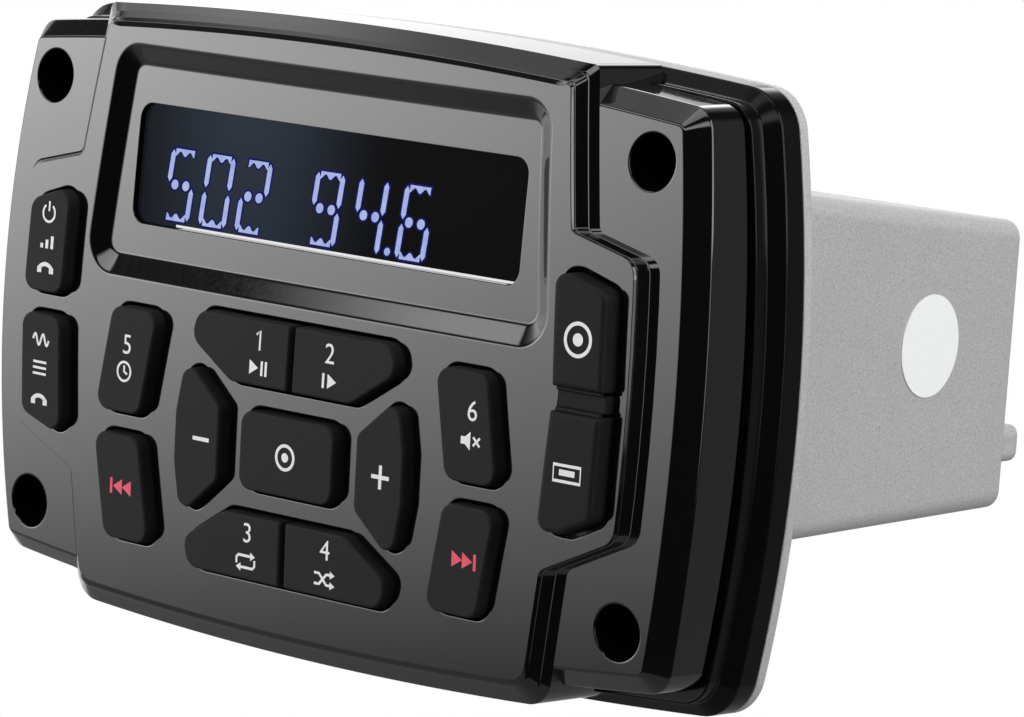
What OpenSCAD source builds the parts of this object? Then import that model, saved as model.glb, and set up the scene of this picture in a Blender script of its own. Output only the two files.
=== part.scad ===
// Flush-mount marine stereo, as an assembly of separate pieces.
// X runs to the right, Y from the front into the panel, Z up. The origin is on the
// rear face of the housing flange, where the stereo seats on its panel, at the
// centre of the four screw holes.

/* [Front face] */
// Width across the flat of the screw wings at mid height
wing_w = 146; // [141:0.2:150]
// Height over the flat of the screw wings at the middle
wing_h = 89; // [86:0.5:91]
// Radius of the bowed left and right edges
side_bow_r = 235; // [200:5:400]
// Radius of the bowed top and bottom edges
top_bow_r = 650; // [500:10:900]
// Corner radius of the wings' flat
wing_corner_r = 1.2; // [0.8:0.1:3]
// Radius of the front's crown from top to bottom
crown_v_r = 650; // [500:10:900]
// Radius of the front's crown from side to side
crown_h_r = 1850; // [1400:50:2600]
// Chamfer round the wings
wing_chamfer = 2.9; // [2:0.1:3.5]
// Depth of the bezel's side wall behind that chamfer
bezel_wall_d = 7.8; // [6.5:0.1:10]
// Draft of the bezel's side wall, as a widening over its depth
bezel_draft = 0.2; // [0:0.05:0.4]
// Wall thickness of the bezel
bezel_t = 2.4; // [1.8:0.1:3]

/* [Raised panel] */
// Step from the wings up to the raised panel
panel_step = 2.7; // [2.2:0.1:3.2]
// Height of the raised panel's face at the middle
panel_h = 93; // [91:0.5:95]
// Radius of the panel's bowed top and bottom edges
panel_bow_r = 810; // [600:10:1200]
// How much further the panel's face reaches below the middle than above it
panel_drop = 0.5; // [0:0.1:0.8]
// Width of the panel's face at its top edge
panel_top_w = 99.4; // [97:0.2:101]
// Width of the panel's face at its bottom edge
panel_bottom_w = 97.4; // [96:0.2:101]
// Width of the panel just above its ears
waist_top_w = 105.6; // [104:0.2:107]
// Height of the corner above the ears
waist_top_z = 23.4; // [22.5:0.1:25]
// Width of the panel just below its ears
waist_bottom_w = 102.4; // [101:0.2:106]
// Depth below centre of the corner under the ears
waist_bottom_z = 27.6; // [26.5:0.1:29]
// Width over the ears at mid height
ear_w = 131; // [130:0.2:132]
// Height of the ears' top corner
ear_top_z = 20.4; // [20:0.1:21.5]
// Depth below centre of the ears' bottom corner
ear_bottom_z = 21.2; // [21:0.1:23]
// Thickness of the panel at the top of its crown
panel_t = 4.6; // [4.4:0.1:4.8]

/* [Mounting] */
// Distance between the left and right screw holes
hole_dx = 128.8; // [126:0.2:131]
// Distance between the upper and lower screw holes
hole_dz = 70; // [68:0.2:72]
// Diameter of the counterbore for a screw head
head_d = 8.6; // [7:0.1:9]
// Diameter of the screw hole through the flange
hole_d = 4.6; // [3.6:0.1:5.2]
// Wall round each counterbore
head_wall = 2; // [1.5:0.1:2.2]

/* [Base frame and housing] */
// Shadow gap between the bezel and the base frame
shadow_gap = 0.7; // [0.4:0.1:1]
// How far the shadow gap is set in from the bezel's side
shadow_inset = 0.8; // [0.5:0.1:1.2]
// How far the base frame's lip stands out past the bezel
lip_out = 1; // [0.6:0.1:1.4]
// Depth of the lip
lip_d = 2.6; // [2:0.1:3.5]
// Width of the sloped shoulder behind the lip
shoulder_w = 2.2; // [1.6:0.1:2.6]
// Depth of the sloped shoulder
shoulder_d = 2; // [1.5:0.1:2.6]
// Depth of the base frame's outer edge
frame_edge_d = 4.1; // [3.4:0.1:5]
// Radius of the base frame's bowed left and right edges
frame_side_r = 215; // [200:5:300]
// Radius of the base frame's bowed top and bottom edges
frame_top_r = 850; // [650:10:1000]
// How far the base frame's middle stands below the bezel's
frame_drop = 0.85; // [0:0.05:1]
// Thickness of the base frame's web
frame_web_t = 3.1; // [2.6:0.1:3.3]
// Thickness of the housing's flange
flange_t = 1.9; // [1.6:0.1:2.4]
// Width of the housing at its flange
housing_w = 142; // [138:0.5:143]
// Height of the housing's top above the hole centre line at the flange
housing_top_z = 31; // [29:0.1:31.2]
// Depth of the housing's bottom below the hole centre line at the flange
housing_bottom_z = 23.2; // [22.8:0.1:25]
// Depth of the housing behind its flange
housing_d = 69.5; // [66:0.5:80]
// Draft of the housing's left and right sides
side_draft = 5.4; // [3:0.1:6]
// Draft of the housing's top
top_draft = 5.6; // [3:0.1:6]
// Draft of the housing's bottom
bottom_draft = 0.8; // [0.5:0.1:2]
// Radius of the housing's long edges
housing_r = 3; // [2.8:0.1:5]
// Radius of the housing's rear edges
rear_r = 1; // [0.6:0.1:2]
// Wall thickness of the housing
housing_t = 2.6; // [2.2:0.1:3]

/* [Display] */
// Width of the display window
window_w = 83.8; // [80:0.2:85]
// Height of the display window
window_h = 19.2; // [17:0.2:20]
// Height of the window's centre
window_z = 23.4; // [23:0.1:24]
// Corner radius of the window
window_r = 2.5; // [1.5:0.1:4]
// Depth of the sunken field round the window
recess_d = 1.8; // [1.4:0.1:2]
// Width of the sunken field's outline at its top
recess_top_w = 93; // [92:0.2:94]
// Width of the sunken field's outline at its bottom
recess_bottom_w = 100.4; // [99:0.2:101]
// Height of the sunken field's top edge
recess_top_z = 42.2; // [41.8:0.1:42.6]
// Height of the sunken field's bottom edge
recess_bottom_z = 5.2; // [5:0.1:5.6]
// Width of the sloped border of the sunken field
recess_slope = 3.2; // [2.4:0.1:3.6]
// How far the window's face lies below the sunken field
window_sunk = 0.9; // [0.5:0.1:1.2]
// Thickness of the window's flange
window_flange_t = 1.2; // [1:0.1:1.4]
// Thickness of the display glass
lcd_t = 2.6; // [2:0.1:2.8]
// Thickness of the backlight
backlight_t = 3.2; // [2.5:0.1:3.4]

/* [Keys] */
// Height of the key faces above the panel
key_rise = 2.2; // [1.6:0.1:2.6]
// Gap between a key and its opening
key_gap = 0.4; // [0.3:0.05:0.5]
// Gap between the two keys of a pair
pair_gap = 0.9; // [0.6:0.1:1.2]
// Chamfer round a key's face
key_edge = 0.5; // [0.3:0.1:0.7]
// Travel of a key
key_travel = 0.9; // [0.6:0.1:1]
// How far a key's skirt reaches under the panel
key_skirt = 0.5; // [0.4:0.05:0.6]
// Thickness of a key's skirt
skirt_t = 1; // [0.8:0.1:1.2]
// Thickness of the keypad mat
mat_t = 1.2; // [1:0.1:1.5]
// Height of the key switches' bodies
switch_h = 3.5; // [3:0.1:3.8]
// Height of the key switches' stems
stem_h = 1.1; // [0.9:0.1:1.3]
// Depth from the inside of the panel to the key board
board_drop = 8.6; // [8.2:0.1:9]
// Thickness of the circuit boards
board_t = 1.6; // [1.2:0.2:2]

/* [Ports] */
// Height of the flaps' faces above the panel
flap_rise = 3; // [2.2:0.1:3.4]
// Gap between a flap and its well
flap_gap = 0.7; // [0.6:0.05:0.8]
// Height of the strap between the two flaps
strap_h = 3.2; // [2.8:0.1:3.6]
// Height of the strap's centre
strap_z = -1; // [-1.4:0.1:-0.6]
// Depth of the port well at the strap
well_d = 3; // [2.6:0.1:3.2]
// Thickness of the well's floor
well_floor_t = 1.6; // [1.4:0.1:1.8]
// Distance of the ports from the middle
port_x = 58.8; // [58.4:0.1:59.2]
// Height of the audio jack
jack_z = 9.6; // [9:0.1:10]
// Radius of the audio jack's bore
jack_bore_r = 1.8; // [1.75:0.05:1.9]
// Depth of the audio jack's bore
jack_bore_d = 12; // [10:0.5:12]
// Height of the serial socket's centre
usb_z = -12; // [-12.4:0.1:-11.6]
// Thickness of the serial socket's shell across
usb_w = 5.7; // [5.4:0.1:6]
// Height of the serial socket's shell
usb_h = 13.2; // [12.8:0.1:13.4]
// Wall of the serial socket's shell
usb_wall = 0.4; // [0.3:0.05:0.5]

/* [Hidden] */
$fn = 48;

// Small overlap for clean cuts, and the gap left where two fixed pieces seat
cut = 0.5;
seat = 0.05;

// Depths, counted back from the panel at y = 0
frame_back_y = -flange_t;
shoulder_back_y = frame_back_y - frame_edge_d;
shoulder_front_y = shoulder_back_y - shoulder_d;
lip_y = shoulder_front_y - lip_d;
bezel_back_y = lip_y - shadow_gap;
web_y = frame_back_y - frame_web_t;
pad_y = bezel_back_y - bezel_wall_d - wing_chamfer;
hole = [hole_dx / 2, hole_dz / 2];
wing_apex = pad_y - crown(hole);
panel_apex = wing_apex - panel_step;
panel_back_y = shoulder_back_y - shoulder_d / 2;
inner_y = panel_apex + panel_t;
wing_inner_y = pad_y + bezel_t;

// Offsets of the outline from the wings' flat
side_out = wing_chamfer + bezel_draft;
frame_out = side_out + lip_out + shoulder_w;

// Stepped wall of the raised panel: [depth, widening] from its face
panel_steps = [[0, 0], [0.26, 0.23], [0.28, 0.29], [0.6, 0.58], [0.62, 0.65], [1, 1]];
panel_run = 3.2;
panel_draft = 0.2;
panel_side_out = panel_run + panel_draft;

// Depth of the crown below its highest point
function crown(p) = p.x * p.x / (2 * crown_h_r) + p.y * p.y / (2 * crown_v_r);

// Points of an arc about c
function arc(c, r, a0, a1, n) =
    [for (i = [0 : n]) c + r * [cos(a0 + (a1 - a0) * i / n), sin(a0 + (a1 - a0) * i / n)]];

function flip_x(pts) = [for (i = [len(pts) - 1 : -1 : 0]) [-pts[i].x, pts[i].y]];
function flip_z(pts) = [for (i = [len(pts) - 1 : -1 : 0]) [pts[i].x, -pts[i].y]];
function moved(pts, d) = [for (p = pts) p + d];

// Where circles about a and b cross, on the side of positive x and y
function crossing(a, ra, b, rb) =
    let (d = norm(b - a), u = (b - a) / d, s = (ra * ra - rb * rb + d * d) / (2 * d))
    let (h = sqrt(ra * ra - s * s), side = [u.y, -u.x])
    let (p = a + s * u + h * side, q = a + s * u - h * side)
    p.x > 0 && p.y > 0 ? p : q;

// Four-sided outline with bowed edges and round corners, as half width and half height
function barrel(hw, hh, rs, rt, rc) =
    let (a = [hw - rs, 0], b = [0, hh - rt], c = crossing(a, rs - rc, b, rt - rc))
    let (a1 = atan2(c.y - a.y, c.x - a.x), a2 = atan2(c.y - b.y, c.x - b.x))
    let (side = arc(a, rs, 0, a1, 4), corner = arc(c, rc, a1, a2, 6), top = arc(b, rt, a2, 90, 5))
    let (quarter = concat(side, [for (i = [1 : 5]) corner[i]], [for (i = [0 : 4]) top[i]]))
    let (upper = concat(quarter, [[0, hh]], [for (p = flip_x(quarter)) p]))
    concat(upper, [for (i = [1 : len(upper) - 2]) -upper[i]]);

// The barrel of the wings' flat, widened all round by d
function wings(d) = barrel(wing_w / 2 + d, wing_h / 2 + d, side_bow_r + d, top_bow_r + d,
    wing_corner_r + max(d, 0));

// Outline of the base frame's lip, shoulder and flange, which is flatter and stands lower
function frame(d) = moved(barrel(wing_w / 2 + d, wing_h / 2 - 0.6 + d, frame_side_r + d, frame_top_r + d,
    wing_corner_r + max(d, 0)), [0, -frame_drop]);

// Polygon with each corner widened by d
function grown(pts, d) =
    let (n = len(pts), u = [for (i = [0 : n - 1]) let (e = pts[(i + 1) % n] - pts[i]) e / norm(e)])
    let (o = [for (e = u) [e.y, -e.x]])
    [for (i = [0 : n - 1]) let (a = o[(i + n - 1) % n], b = o[i]) pts[i] + d * (a + b) / (1 + a * b)];

// Round corner at p, between its neighbours
function fillet(a, p, b, r, n) =
    let (u = (a - p) / norm(a - p), v = (b - p) / norm(b - p), half = acos(u * v) / 2)
    let (c = p + (u + v) / norm(u + v) * r / sin(half), s = p + u * r / tan(half) - c)
    let (e = p + v * r / tan(half) - c, a0 = atan2(s.y, s.x))
    let (turn = (atan2(e.y, e.x) - a0 + 540) % 360 - 180)
    arc(c, r, a0, a0 + turn, n);

// Polygon with a radius for each corner, where 0 leaves the corner as it is
function rounded(pts, radii, n = 5) =
    let (k = len(pts))
    [for (i = [0 : k - 1])
        each radii[i] == 0 ? [pts[i]]
            : fillet(pts[(i + k - 1) % k], pts[i], pts[(i + 1) % k], radii[i], n)];

function same(r, n) = [for (i = [1 : n]) r];
function box_points(w, h, at = [0, 0]) =
    moved([[-w / 2, -h / 2], [w / 2, -h / 2], [w / 2, h / 2], [-w / 2, h / 2]], at);

// Outline set at depth y, on a plane or following the crown
function ring(pts, y, bend = 0) = [for (p = pts) [p.x, y + bend * crown(p), p.y]];

// Solid through outlines with as many points each, from front to back
module loft(rings) {
    n = len(rings[0]);
    last = (len(rings) - 1) * n;
    sides = [for (j = [0 : len(rings) - 2], i = [0 : n - 1])
        let (a = j * n + i, b = j * n + (i + 1) % n)
        each [[a, b, b + n], [a, b + n, a + n]]];
    caps = [[for (i = [n - 1 : -1 : 0]) i], [for (i = [0 : n - 1]) last + i]];
    polyhedron([for (r = rings) each r], concat(caps, sides));
}

// The same with a crowned front, closed by a fan about the point c
module domed(c, rings) {
    n = len(rings[0]);
    last = (len(rings) - 1) * n;
    tip = last + n;
    sides = [for (j = [0 : len(rings) - 2], i = [0 : n - 1])
        let (a = j * n + i, b = j * n + (i + 1) % n)
        each [[a, b, b + n], [a, b + n, a + n]]];
    front = [for (i = [0 : n - 1]) [(i + 1) % n, i, tip]];
    back = [[for (i = [0 : n - 1]) last + i]];
    polyhedron(concat([for (r = rings) each r], [c]), concat(front, back, sides));
}

// Flat outline drawn in X and Z, from depth y0 back to y1
module slab(y0, y1) {
    translate([0, y1, 0])
        rotate([90, 0, 0])
            linear_extrude(y1 - y0)
                children();
}

// Round bar or bore along Y at p
module rod(p, r, y0, y1) {
    translate([p.x, y1, p.y])
        rotate([90, 0, 0])
            cylinder(r = r, h = y1 - y0);
}

// Everything behind a crowned face whose highest point is at apex
module behind_crown(apex) {
    w = 84;
    h = 56;
    nx = 16;
    nz = 12;
    n = (nx + 1) * (nz + 1);
    k = nz + 1;
    face = [for (i = [0 : nx], j = [0 : nz])
        let (p = [w * (2 * i / nx - 1), h * (2 * j / nz - 1)])
        [p.x, apex + crown(p), p.y]];
    back = [[-w, 10, -h], [w, 10, -h], [w, 10, h], [-w, 10, h]];
    front = [for (i = [0 : nx - 1], j = [0 : nz - 1])
        let (a = i * k + j, c = a + k + 1)
        each [[a, a + 1, c], [a, c, a + k]]];
    right = concat([for (j = [0 : nz]) nx * k + j], [n + 2, n + 1]);
    left = concat([n, n + 3], [for (j = [nz : -1 : 0]) j]);
    top = concat([nz, n + 3, n + 2], [for (i = [nx : -1 : 1]) i * k + nz]);
    bottom = concat([nx * k, n + 1, n], [for (i = [0 : nx - 1]) i * k]);
    polyhedron(concat(face, back), concat(front, [right, left, top, bottom, [n + 1, n + 2, n + 3, n]]));
}

module four(p) {
    for (sx = [-1, 1], sz = [-1, 1])
        translate([sx * p.x, 0, sz * p.y])
            children();
}

// Outline of the raised panel's face, right half from bottom to top
function bow_z(x) = panel_h / 2 - x * x / (2 * panel_bow_r);
function ear_x(z) = ear_w / 2 - z * z / (2 * side_bow_r);
panel_half = [[14, -bow_z(14) - panel_drop], [33, -bow_z(33) - panel_drop],
    [panel_bottom_w / 2, -bow_z(panel_bottom_w / 2) - panel_drop],
    [waist_bottom_w / 2, -waist_bottom_z],
    [ear_x(ear_bottom_z), -ear_bottom_z], [ear_x(10), -10], [ear_x(0), 0], [ear_x(10), 10],
    [ear_x(ear_top_z), ear_top_z], [waist_top_w / 2, waist_top_z],
    [panel_top_w / 2, bow_z(panel_top_w / 2)], [33, bow_z(33)], [14, bow_z(14)]];
panel_half_r = [0, 0, 2.4, 2, 2, 0, 0, 0, 1.6, 1.4, 1.2, 0, 0];
panel_points = concat(panel_half, flip_x(panel_half));
panel_radii = concat(panel_half_r, [for (i = [len(panel_half_r) - 1 : -1 : 0]) panel_half_r[i]]);
function panel(d) = rounded(grown(panel_points, d), panel_radii);

// Key openings, round the middle of the key field, for the right half
field_z = -18;
function in_field(pts) = moved(pts, [0, field_z]);
select_points = in_field(box_points(22.2, 13.5));
volume_points = in_field([[14, -6.1], [21.8, -11.9], [24.6, -10.8], [25.9, -4], [25.9, 4],
    [24.6, 10.8], [21.8, 11.9], [14, 6.1]]);
volume_r = [1.4, 1.2, 1.6, 3, 3, 1.6, 1.2, 1.4];
pair_points = [[-13.7, 9.7], [13.7, 9.7], [23.4, 15.7], [21.9, 21], [-21.9, 21], [-23.4, 15.7]];
pair_r = [1.6, 1.6, 1.8, 2.4, 2.4, 1.8];
skip_points = [[32.5, 1.25], [44.9, 1.25], [41.7, 19.2], [29.2, 19.2]];
skip_r = 2.6;
ear_upper_points = [[52.4, 0.1], [63.6, 0.1], [63.1, 15.7], [51.7, 19.1]];
ear_lower_points = [[51, -23], [62.7, -19.6], [63.6, -2.5], [52.4, -2.5]];
ear_r = [2.4, 2.4, 3, 3];
well_points = [[51.7, -21.8], [57.5, -21.8], [64.6, -18.8], [65.2, -1], [64.5, 16.2], [56, 18.4],
    [52, 18.4], [53.2, -1]];
well_r = [2.8, 3, 2.4, 0, 2.4, 3, 2.8, 0];

// One row for each key: name, its own share of the opening, corner radii, and its switch
KEYS = [
    ["key_power", flip_x(ear_upper_points), [3, 3, 2.4, 2.4], [-57.6, 8.6]],
    ["key_band", flip_x(ear_lower_points), [2.4, 2.4, 2.4, 2.4], [-57.6, -12]],
    ["key_1", in_field(pair_side(-1)), [1.6, 0, 0, 2.4, 1.8], [-11, -2.6]],
    ["key_2", in_field(pair_side(1)), [0, 1.6, 1.8, 2.4, 0], [11, -2.6]],
    ["key_3", in_field(flip_z(pair_side(-1))), [1.8, 2.4, 0, 0, 1.6], [-11, -33.4]],
    ["key_4", in_field(flip_z(pair_side(1))), [0, 2.4, 1.8, 1.6, 0], [11, -33.4]],
    ["key_5", in_field(flip_x(skip_points)), same(skip_r, 4), [-37, -7.8]],
    ["key_6", in_field(skip_points), same(skip_r, 4), [37, -7.8]],
    ["key_previous", in_field(flip_x(flip_z(skip_points))), same(skip_r, 4), [-37, -28.2]],
    ["key_next", in_field(flip_z(skip_points)), same(skip_r, 4), [37, -28.2]],
    ["key_volume_down", flip_x(volume_points), [for (i = [7 : -1 : 0]) volume_r[i]], [-20, -18]],
    ["key_volume_up", volume_points, volume_r, [20, -18]],
    ["key_select", select_points, same(2.2, 4), [0, -18]]];
PAIR_KEYS = [2, 3, 4, 5];

// Left or right key of a pair, which stands pair_gap from its neighbour less the opening's gap
function pair_side(s) =
    let (p = pair_points, m = pair_gap / 2 - key_gap, near = p[0].y, far = p[3].y)
    s > 0 ? [[m, near], p[1], p[2], p[3], [m, far]]
        : [p[0], [-m, near], [-m, far], p[4], p[5]];

// Openings in the bezel, one for each key or pair of keys
module key_openings(d) {
    for (i = [0 : len(KEYS) - 1])
        if (len(search(i, PAIR_KEYS)) == 0)
            polygon(rounded(grown(KEYS[i][1], d), KEYS[i][2]));
    polygon(rounded(grown(in_field(pair_points), d), pair_r));
    polygon(rounded(grown(in_field(flip_z(pair_points)), d), [for (i = [5 : -1 : 0]) pair_r[i]]));
}

// Depths of the keys and what they press
skirt_y = inner_y + seat;
skirt_back_y = skirt_y + skirt_t;
board_y = inner_y + board_drop;
stem_y = board_y - switch_h - stem_h;
plunger_y = stem_y - key_travel - 0.1;
board_back_y = board_y + board_t;

// Places of fixings
housing_screw_at = [[-32, 40.4], [32, 40.4], [-26.6, -41.6], [26.6, -41.6]];
post_at = [[-48.9, 35.4], [48.9, 35.4], [-48, -2], [48, -2], [-47.2, -32.5], [47.2, -32.5]];
port_post_at = [[port_x - 4.5, strap_z], [port_x + 4.5, strap_z]];
screw_r = 1.25;
screw_clear_r = 1.7;
pilot_r = screw_r + seat;
housing_post_r = 3.1;
board_post_r = 2.2;
head_h = 1.4;
head_r = 2.4;

// Screw with a round head at y1, its point toward the front at y0
module pan_screw(p, r, hr, y0, y1) {
    rod(p, r, y0, y1);
    rod(p, hr, y1, y1 + head_h);
}

// Depths of the port well
well_y = panel_apex + crown([port_x, strap_z]) + well_d;
well_back_y = well_y + well_floor_t;
port_board_y = well_back_y + 12.9;
port_board_back_y = port_board_y + board_t;
flap_front_y = panel_apex - flap_rise;
jack_face_y = well_back_y + 0.1;
jack_r = 3;
jack_hole_r = 3.7;
usb_hole_gap = 0.5;
anchor_r = 1.3;

module panel_block() {
    intersection() {
        loft(concat([ring(panel(0), panel_apex - 4)],
            [for (s = panel_steps) ring(panel(s[1] * panel_run), panel_apex + s[0] * panel_step, 1)],
            [ring(panel(panel_side_out), 0)]));
        behind_crown(panel_apex);
    }
}

module wing_block() {
    intersection() {
        loft([ring(wings(0), wing_apex - 4), ring(wings(0), wing_apex, 1),
            ring(wings(wing_chamfer), wing_apex + wing_chamfer, 1),
            ring(wings(side_out), bezel_back_y)]);
        behind_crown(wing_apex);
    }
}

function recess(d) = rounded(grown([[-recess_bottom_w / 2, recess_bottom_z],
    [recess_bottom_w / 2, recess_bottom_z], [recess_top_w / 2, recess_top_z],
    [-recess_top_w / 2, recess_top_z]], d), [5.5 + d, 5.5 + d, 5 + d, 5 + d]);

module window_shape(d) {
    polygon(rounded(box_points(window_w + 2 * d, window_h + 2 * d, [0, window_z]),
        same(window_r + max(d, -1), 4)));
}

module well_shape(d) {
    polygon(rounded(grown(well_points, d), well_r));
}

// Moulded shell of the bezel, hollow from behind
module bezel_shell() {
    difference() {
        union() {
            panel_block();
            wing_block();
        }
        slab(inner_y, cut)
            polygon(panel(panel_side_out - bezel_t));
        slab(panel_back_y - seat, cut)
            polygon(box_points(2 * wing_w, 2 * wing_h));
        slab(wing_inner_y, bezel_back_y + cut)
            polygon(wings(side_out - bezel_t));
    }
}

// Bosses and screw posts inside the shell
module bezel_posts() {
    four(hole)
        rod([0, 0], head_d / 2 + head_wall, wing_inner_y - cut, bezel_back_y);
    for (p = housing_screw_at)
        rod(p, housing_post_r, inner_y - cut, web_y - seat);
    for (p = post_at)
        rod(p, board_post_r, inner_y - cut, board_y - seat);
}

module front_bezel() {
    color("#1b1c1e") {
        difference() {
            union() {
                bezel_shell();
                bezel_posts();
            }
            // Sunken field with sloped borders
            difference() {
                loft([ring(recess(0), panel_apex - 3), ring(recess(0), panel_apex, 1),
                    ring(recess(-recess_slope), panel_apex + recess_d, 1),
                    ring(recess(-recess_slope), inner_y + 1)]);
                behind_crown(panel_apex + recess_d);
            }
            slab(panel_apex, inner_y + cut)
                window_shape(0);
            slab(panel_apex - 1, inner_y + cut)
                key_openings(0);
            slab(panel_apex - 1, inner_y + cut)
                well_shape(0);
            four(hole)
                rod([0, 0], head_d / 2, pad_y - 5, bezel_back_y + cut);
            for (p = housing_screw_at)
                rod(p, pilot_r, web_y - 11, web_y);
            for (p = post_at)
                rod(p, pilot_r, board_y - 6, board_y);
        }
        // Tabs that hold the flaps' strap
        for (s = [-1, 1])
            slab(well_y - 1.4, well_y - seat)
                polygon(box_points(1.2, strap_h - 0.6, [port_x + 0.4 + s * 6.1, strap_z]));
    }
}

// Mouth of the housing, which the base frame shares
function mouth(d) = rounded(grown([[-housing_w / 2, -housing_bottom_z], [housing_w / 2, -housing_bottom_z],
    [housing_w / 2, housing_top_z], [-housing_w / 2, housing_top_z]], d), same(housing_r + d, 4), 7);

seal_w = 1.8;
seal_d = 1;

// Where the seal's inner edge stands from the housing's outer wall, so that it misses the corner holes
seal_in = 0.2 - seal_w;

module base_frame() {
    color("#141517")
        difference() {
            loft([ring(wings(side_out - shadow_inset), bezel_back_y + seat),
                ring(wings(side_out - shadow_inset), lip_y),
                ring(frame(side_out + lip_out), lip_y + seat),
                ring(frame(side_out + lip_out), shoulder_front_y),
                ring(frame(frame_out), shoulder_back_y), ring(frame(frame_out), frame_back_y)]);
            difference() {
                slab(bezel_back_y - cut, web_y)
                    polygon(wings(side_out - bezel_t));
                four(hole)
                    rod([0, 0], head_d / 2 + head_wall, bezel_back_y - cut, web_y + cut);
            }
            slab(bezel_back_y - cut, panel_back_y)
                polygon(panel(panel_side_out + 0.1));
            slab(web_y - cut, cut)
                polygon(mouth(-housing_t));
            slab(frame_back_y - seal_d, cut)
                difference() {
                    polygon(mouth(seal_in + seal_w + seat));
                    polygon(mouth(seal_in - seat));
                }
            four(hole)
                rod([0, 0], hole_d / 2, bezel_back_y - cut, cut);
            for (p = housing_screw_at)
                rod(p, screw_clear_r, web_y - cut, cut);
        }
}

module bezel_seal() {
    color("#2b2b2b")
        slab(frame_back_y - seal_d + seat, frame_back_y - seat)
            difference() {
                polygon(mouth(seal_in + seal_w));
                polygon(mouth(seal_in));
            }
}

// Section of the housing's body at depth y, drawn in by d
function body(y, d) =
    let (w = housing_w / 2 - y * tan(side_draft) - d)
    let (t = housing_top_z - y * tan(top_draft) - d, b = housing_bottom_z - y * tan(bottom_draft) - d)
    rounded([[-w, -b], [w, -b], [w, t], [-w, t]], same(housing_r - d, 4), 7);

// Sections that round the rear edge off, as [depth before the back, drawn in]
function rear_round(r) = [for (a = [0 : 30 : 90]) [r * (1 - sin(a)), r * (1 - cos(a))]];

rear_boss = [60.4, -11.8];
rear_boss_w = 8;
rear_boss_h = 6.2;
rear_boss_d = 3.7;
grommet_at = [-22, 4];
grommet_r = 7;
antenna_at = [24, 4];
antenna_r = 5;
board_z = -14;
standoff_r = 3;
standoff_at = [[-52, 10], [52, 10], [-52, 52], [52, 52]];
inside_back_y = housing_d - housing_t;
chip_at = [0, 2];
clamp_screw_at = [0, 12.5];

module rear_housing() {
    color("#aeb1b4")
        difference() {
            union() {
                slab(frame_back_y, 0)
                    polygon(frame(frame_out));
                loft(concat([ring(body(0, 0), -flange_t / 2)],
                    [for (s = rear_round(rear_r)) ring(body(housing_d - s[0], s[1]), housing_d - s[0])]));
                // Cast bosses for a rear support strap
                for (s = [-1, 1])
                    slab(inside_back_y, housing_d + rear_boss_d)
                        polygon(rounded(box_points(rear_boss_w, rear_boss_h, [s * rear_boss.x, rear_boss.y]),
                            same(1.4, 4)));
            }
            difference() {
                union() {
                    slab(frame_back_y - cut, seat)
                        polygon(mouth(-housing_t));
                    loft([ring(body(0, housing_t), 0),
                        ring(body(inside_back_y, housing_t), inside_back_y)]);
                }
                // Stand-offs under the main board
                for (p = standoff_at)
                    translate([p.x, p.y, -housing_bottom_z])
                        cylinder(r = standoff_r, h = board_z - seat + housing_bottom_z);
                // Pad behind the amplifier
                slab(inside_back_y - 2, housing_d - 1)
                    polygon(box_points(26, 27, [0, 6]));
            }
            four(hole)
                rod([0, 0], hole_d / 2, -flange_t - cut, cut);
            for (p = housing_screw_at)
                translate([p.x, 0, p.y])
                    rotate([90, 0, 0])
                        countersunk(screw_clear_r, seat);
            for (p = standoff_at)
                translate([p.x, p.y, board_z - 7])
                    cylinder(r = pilot_r, h = 8);
            rod(clamp_screw_at, pilot_r, inside_back_y - 3, inside_back_y + 1);
            rod(grommet_at, grommet_r, inside_back_y - cut, housing_d + cut);
            rod(antenna_at, antenna_r, inside_back_y - cut, housing_d + cut);
        }
}

csk_r = 2.8;
csk_h = 1.5;
// Screw hole or screw with a countersunk head, its face at z = 0 and its shank up
module countersunk(r, gap) {
    translate([0, 0, -gap])
        cylinder(r = r, h = flange_t + gap + 1);
    translate([0, 0, -gap])
        cylinder(r1 = csk_r + 2 * gap, r2 = r, h = csk_h);
}

module housing_screws() {
    color("#c9cbcd")
        for (p = housing_screw_at) {
            translate([p.x, -0.1, p.y])
                rotate([90, 0, 0])
                    cylinder(r1 = csk_r, r2 = screw_r, h = csk_h);
            rod(p, screw_r, web_y - 10, -0.1);
        }
}

window_y = panel_apex + recess_d + window_sunk;
module display_window() {
    color("#101216") {
        intersection() {
            slab(window_y, inner_y + 2 * seat)
                window_shape(-0.15);
            behind_crown(window_y);
        }
        slab(inner_y + seat, inner_y + seat + window_flange_t)
            window_shape(2);
    }
}

lcd_y = inner_y + window_flange_t + 0.2;
lcd_back_y = lcd_y + lcd_t;
lcd_margin = [2.6, 2.2];
ledge_t = 1;
holder_wall = 1.5;
holder_margin = lcd_margin + [1, 1] * (0.1 + holder_wall);
backlight_back_y = lcd_back_y + 0.1 + ledge_t + seat + backlight_t;

module display_box(margin) {
    polygon(box_points(window_w + 2 * margin.x, window_h + 2 * margin.y, [0, window_z]));
}

module lcd_panel() {
    color("#20242c")
        slab(lcd_y, lcd_back_y)
            display_box(lcd_margin);
}

module lcd_frame() {
    color("#e8e8e4")
        difference() {
            slab(lcd_y, board_y - seat)
                display_box(holder_margin);
            slab(lcd_y - cut, lcd_back_y + seat)
                display_box(lcd_margin + [1, 1] * 0.1);
            slab(lcd_y - cut, board_y)
                display_box([-1, -0.6]);
            slab(lcd_back_y + seat + ledge_t, board_y + cut)
                display_box(lcd_margin + [1, 1] * 0.1);
        }
}

module backlight() {
    color("#f2f4fa")
        slab(lcd_back_y + 2 * seat + ledge_t, backlight_back_y)
            display_box(lcd_margin);
}

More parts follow.
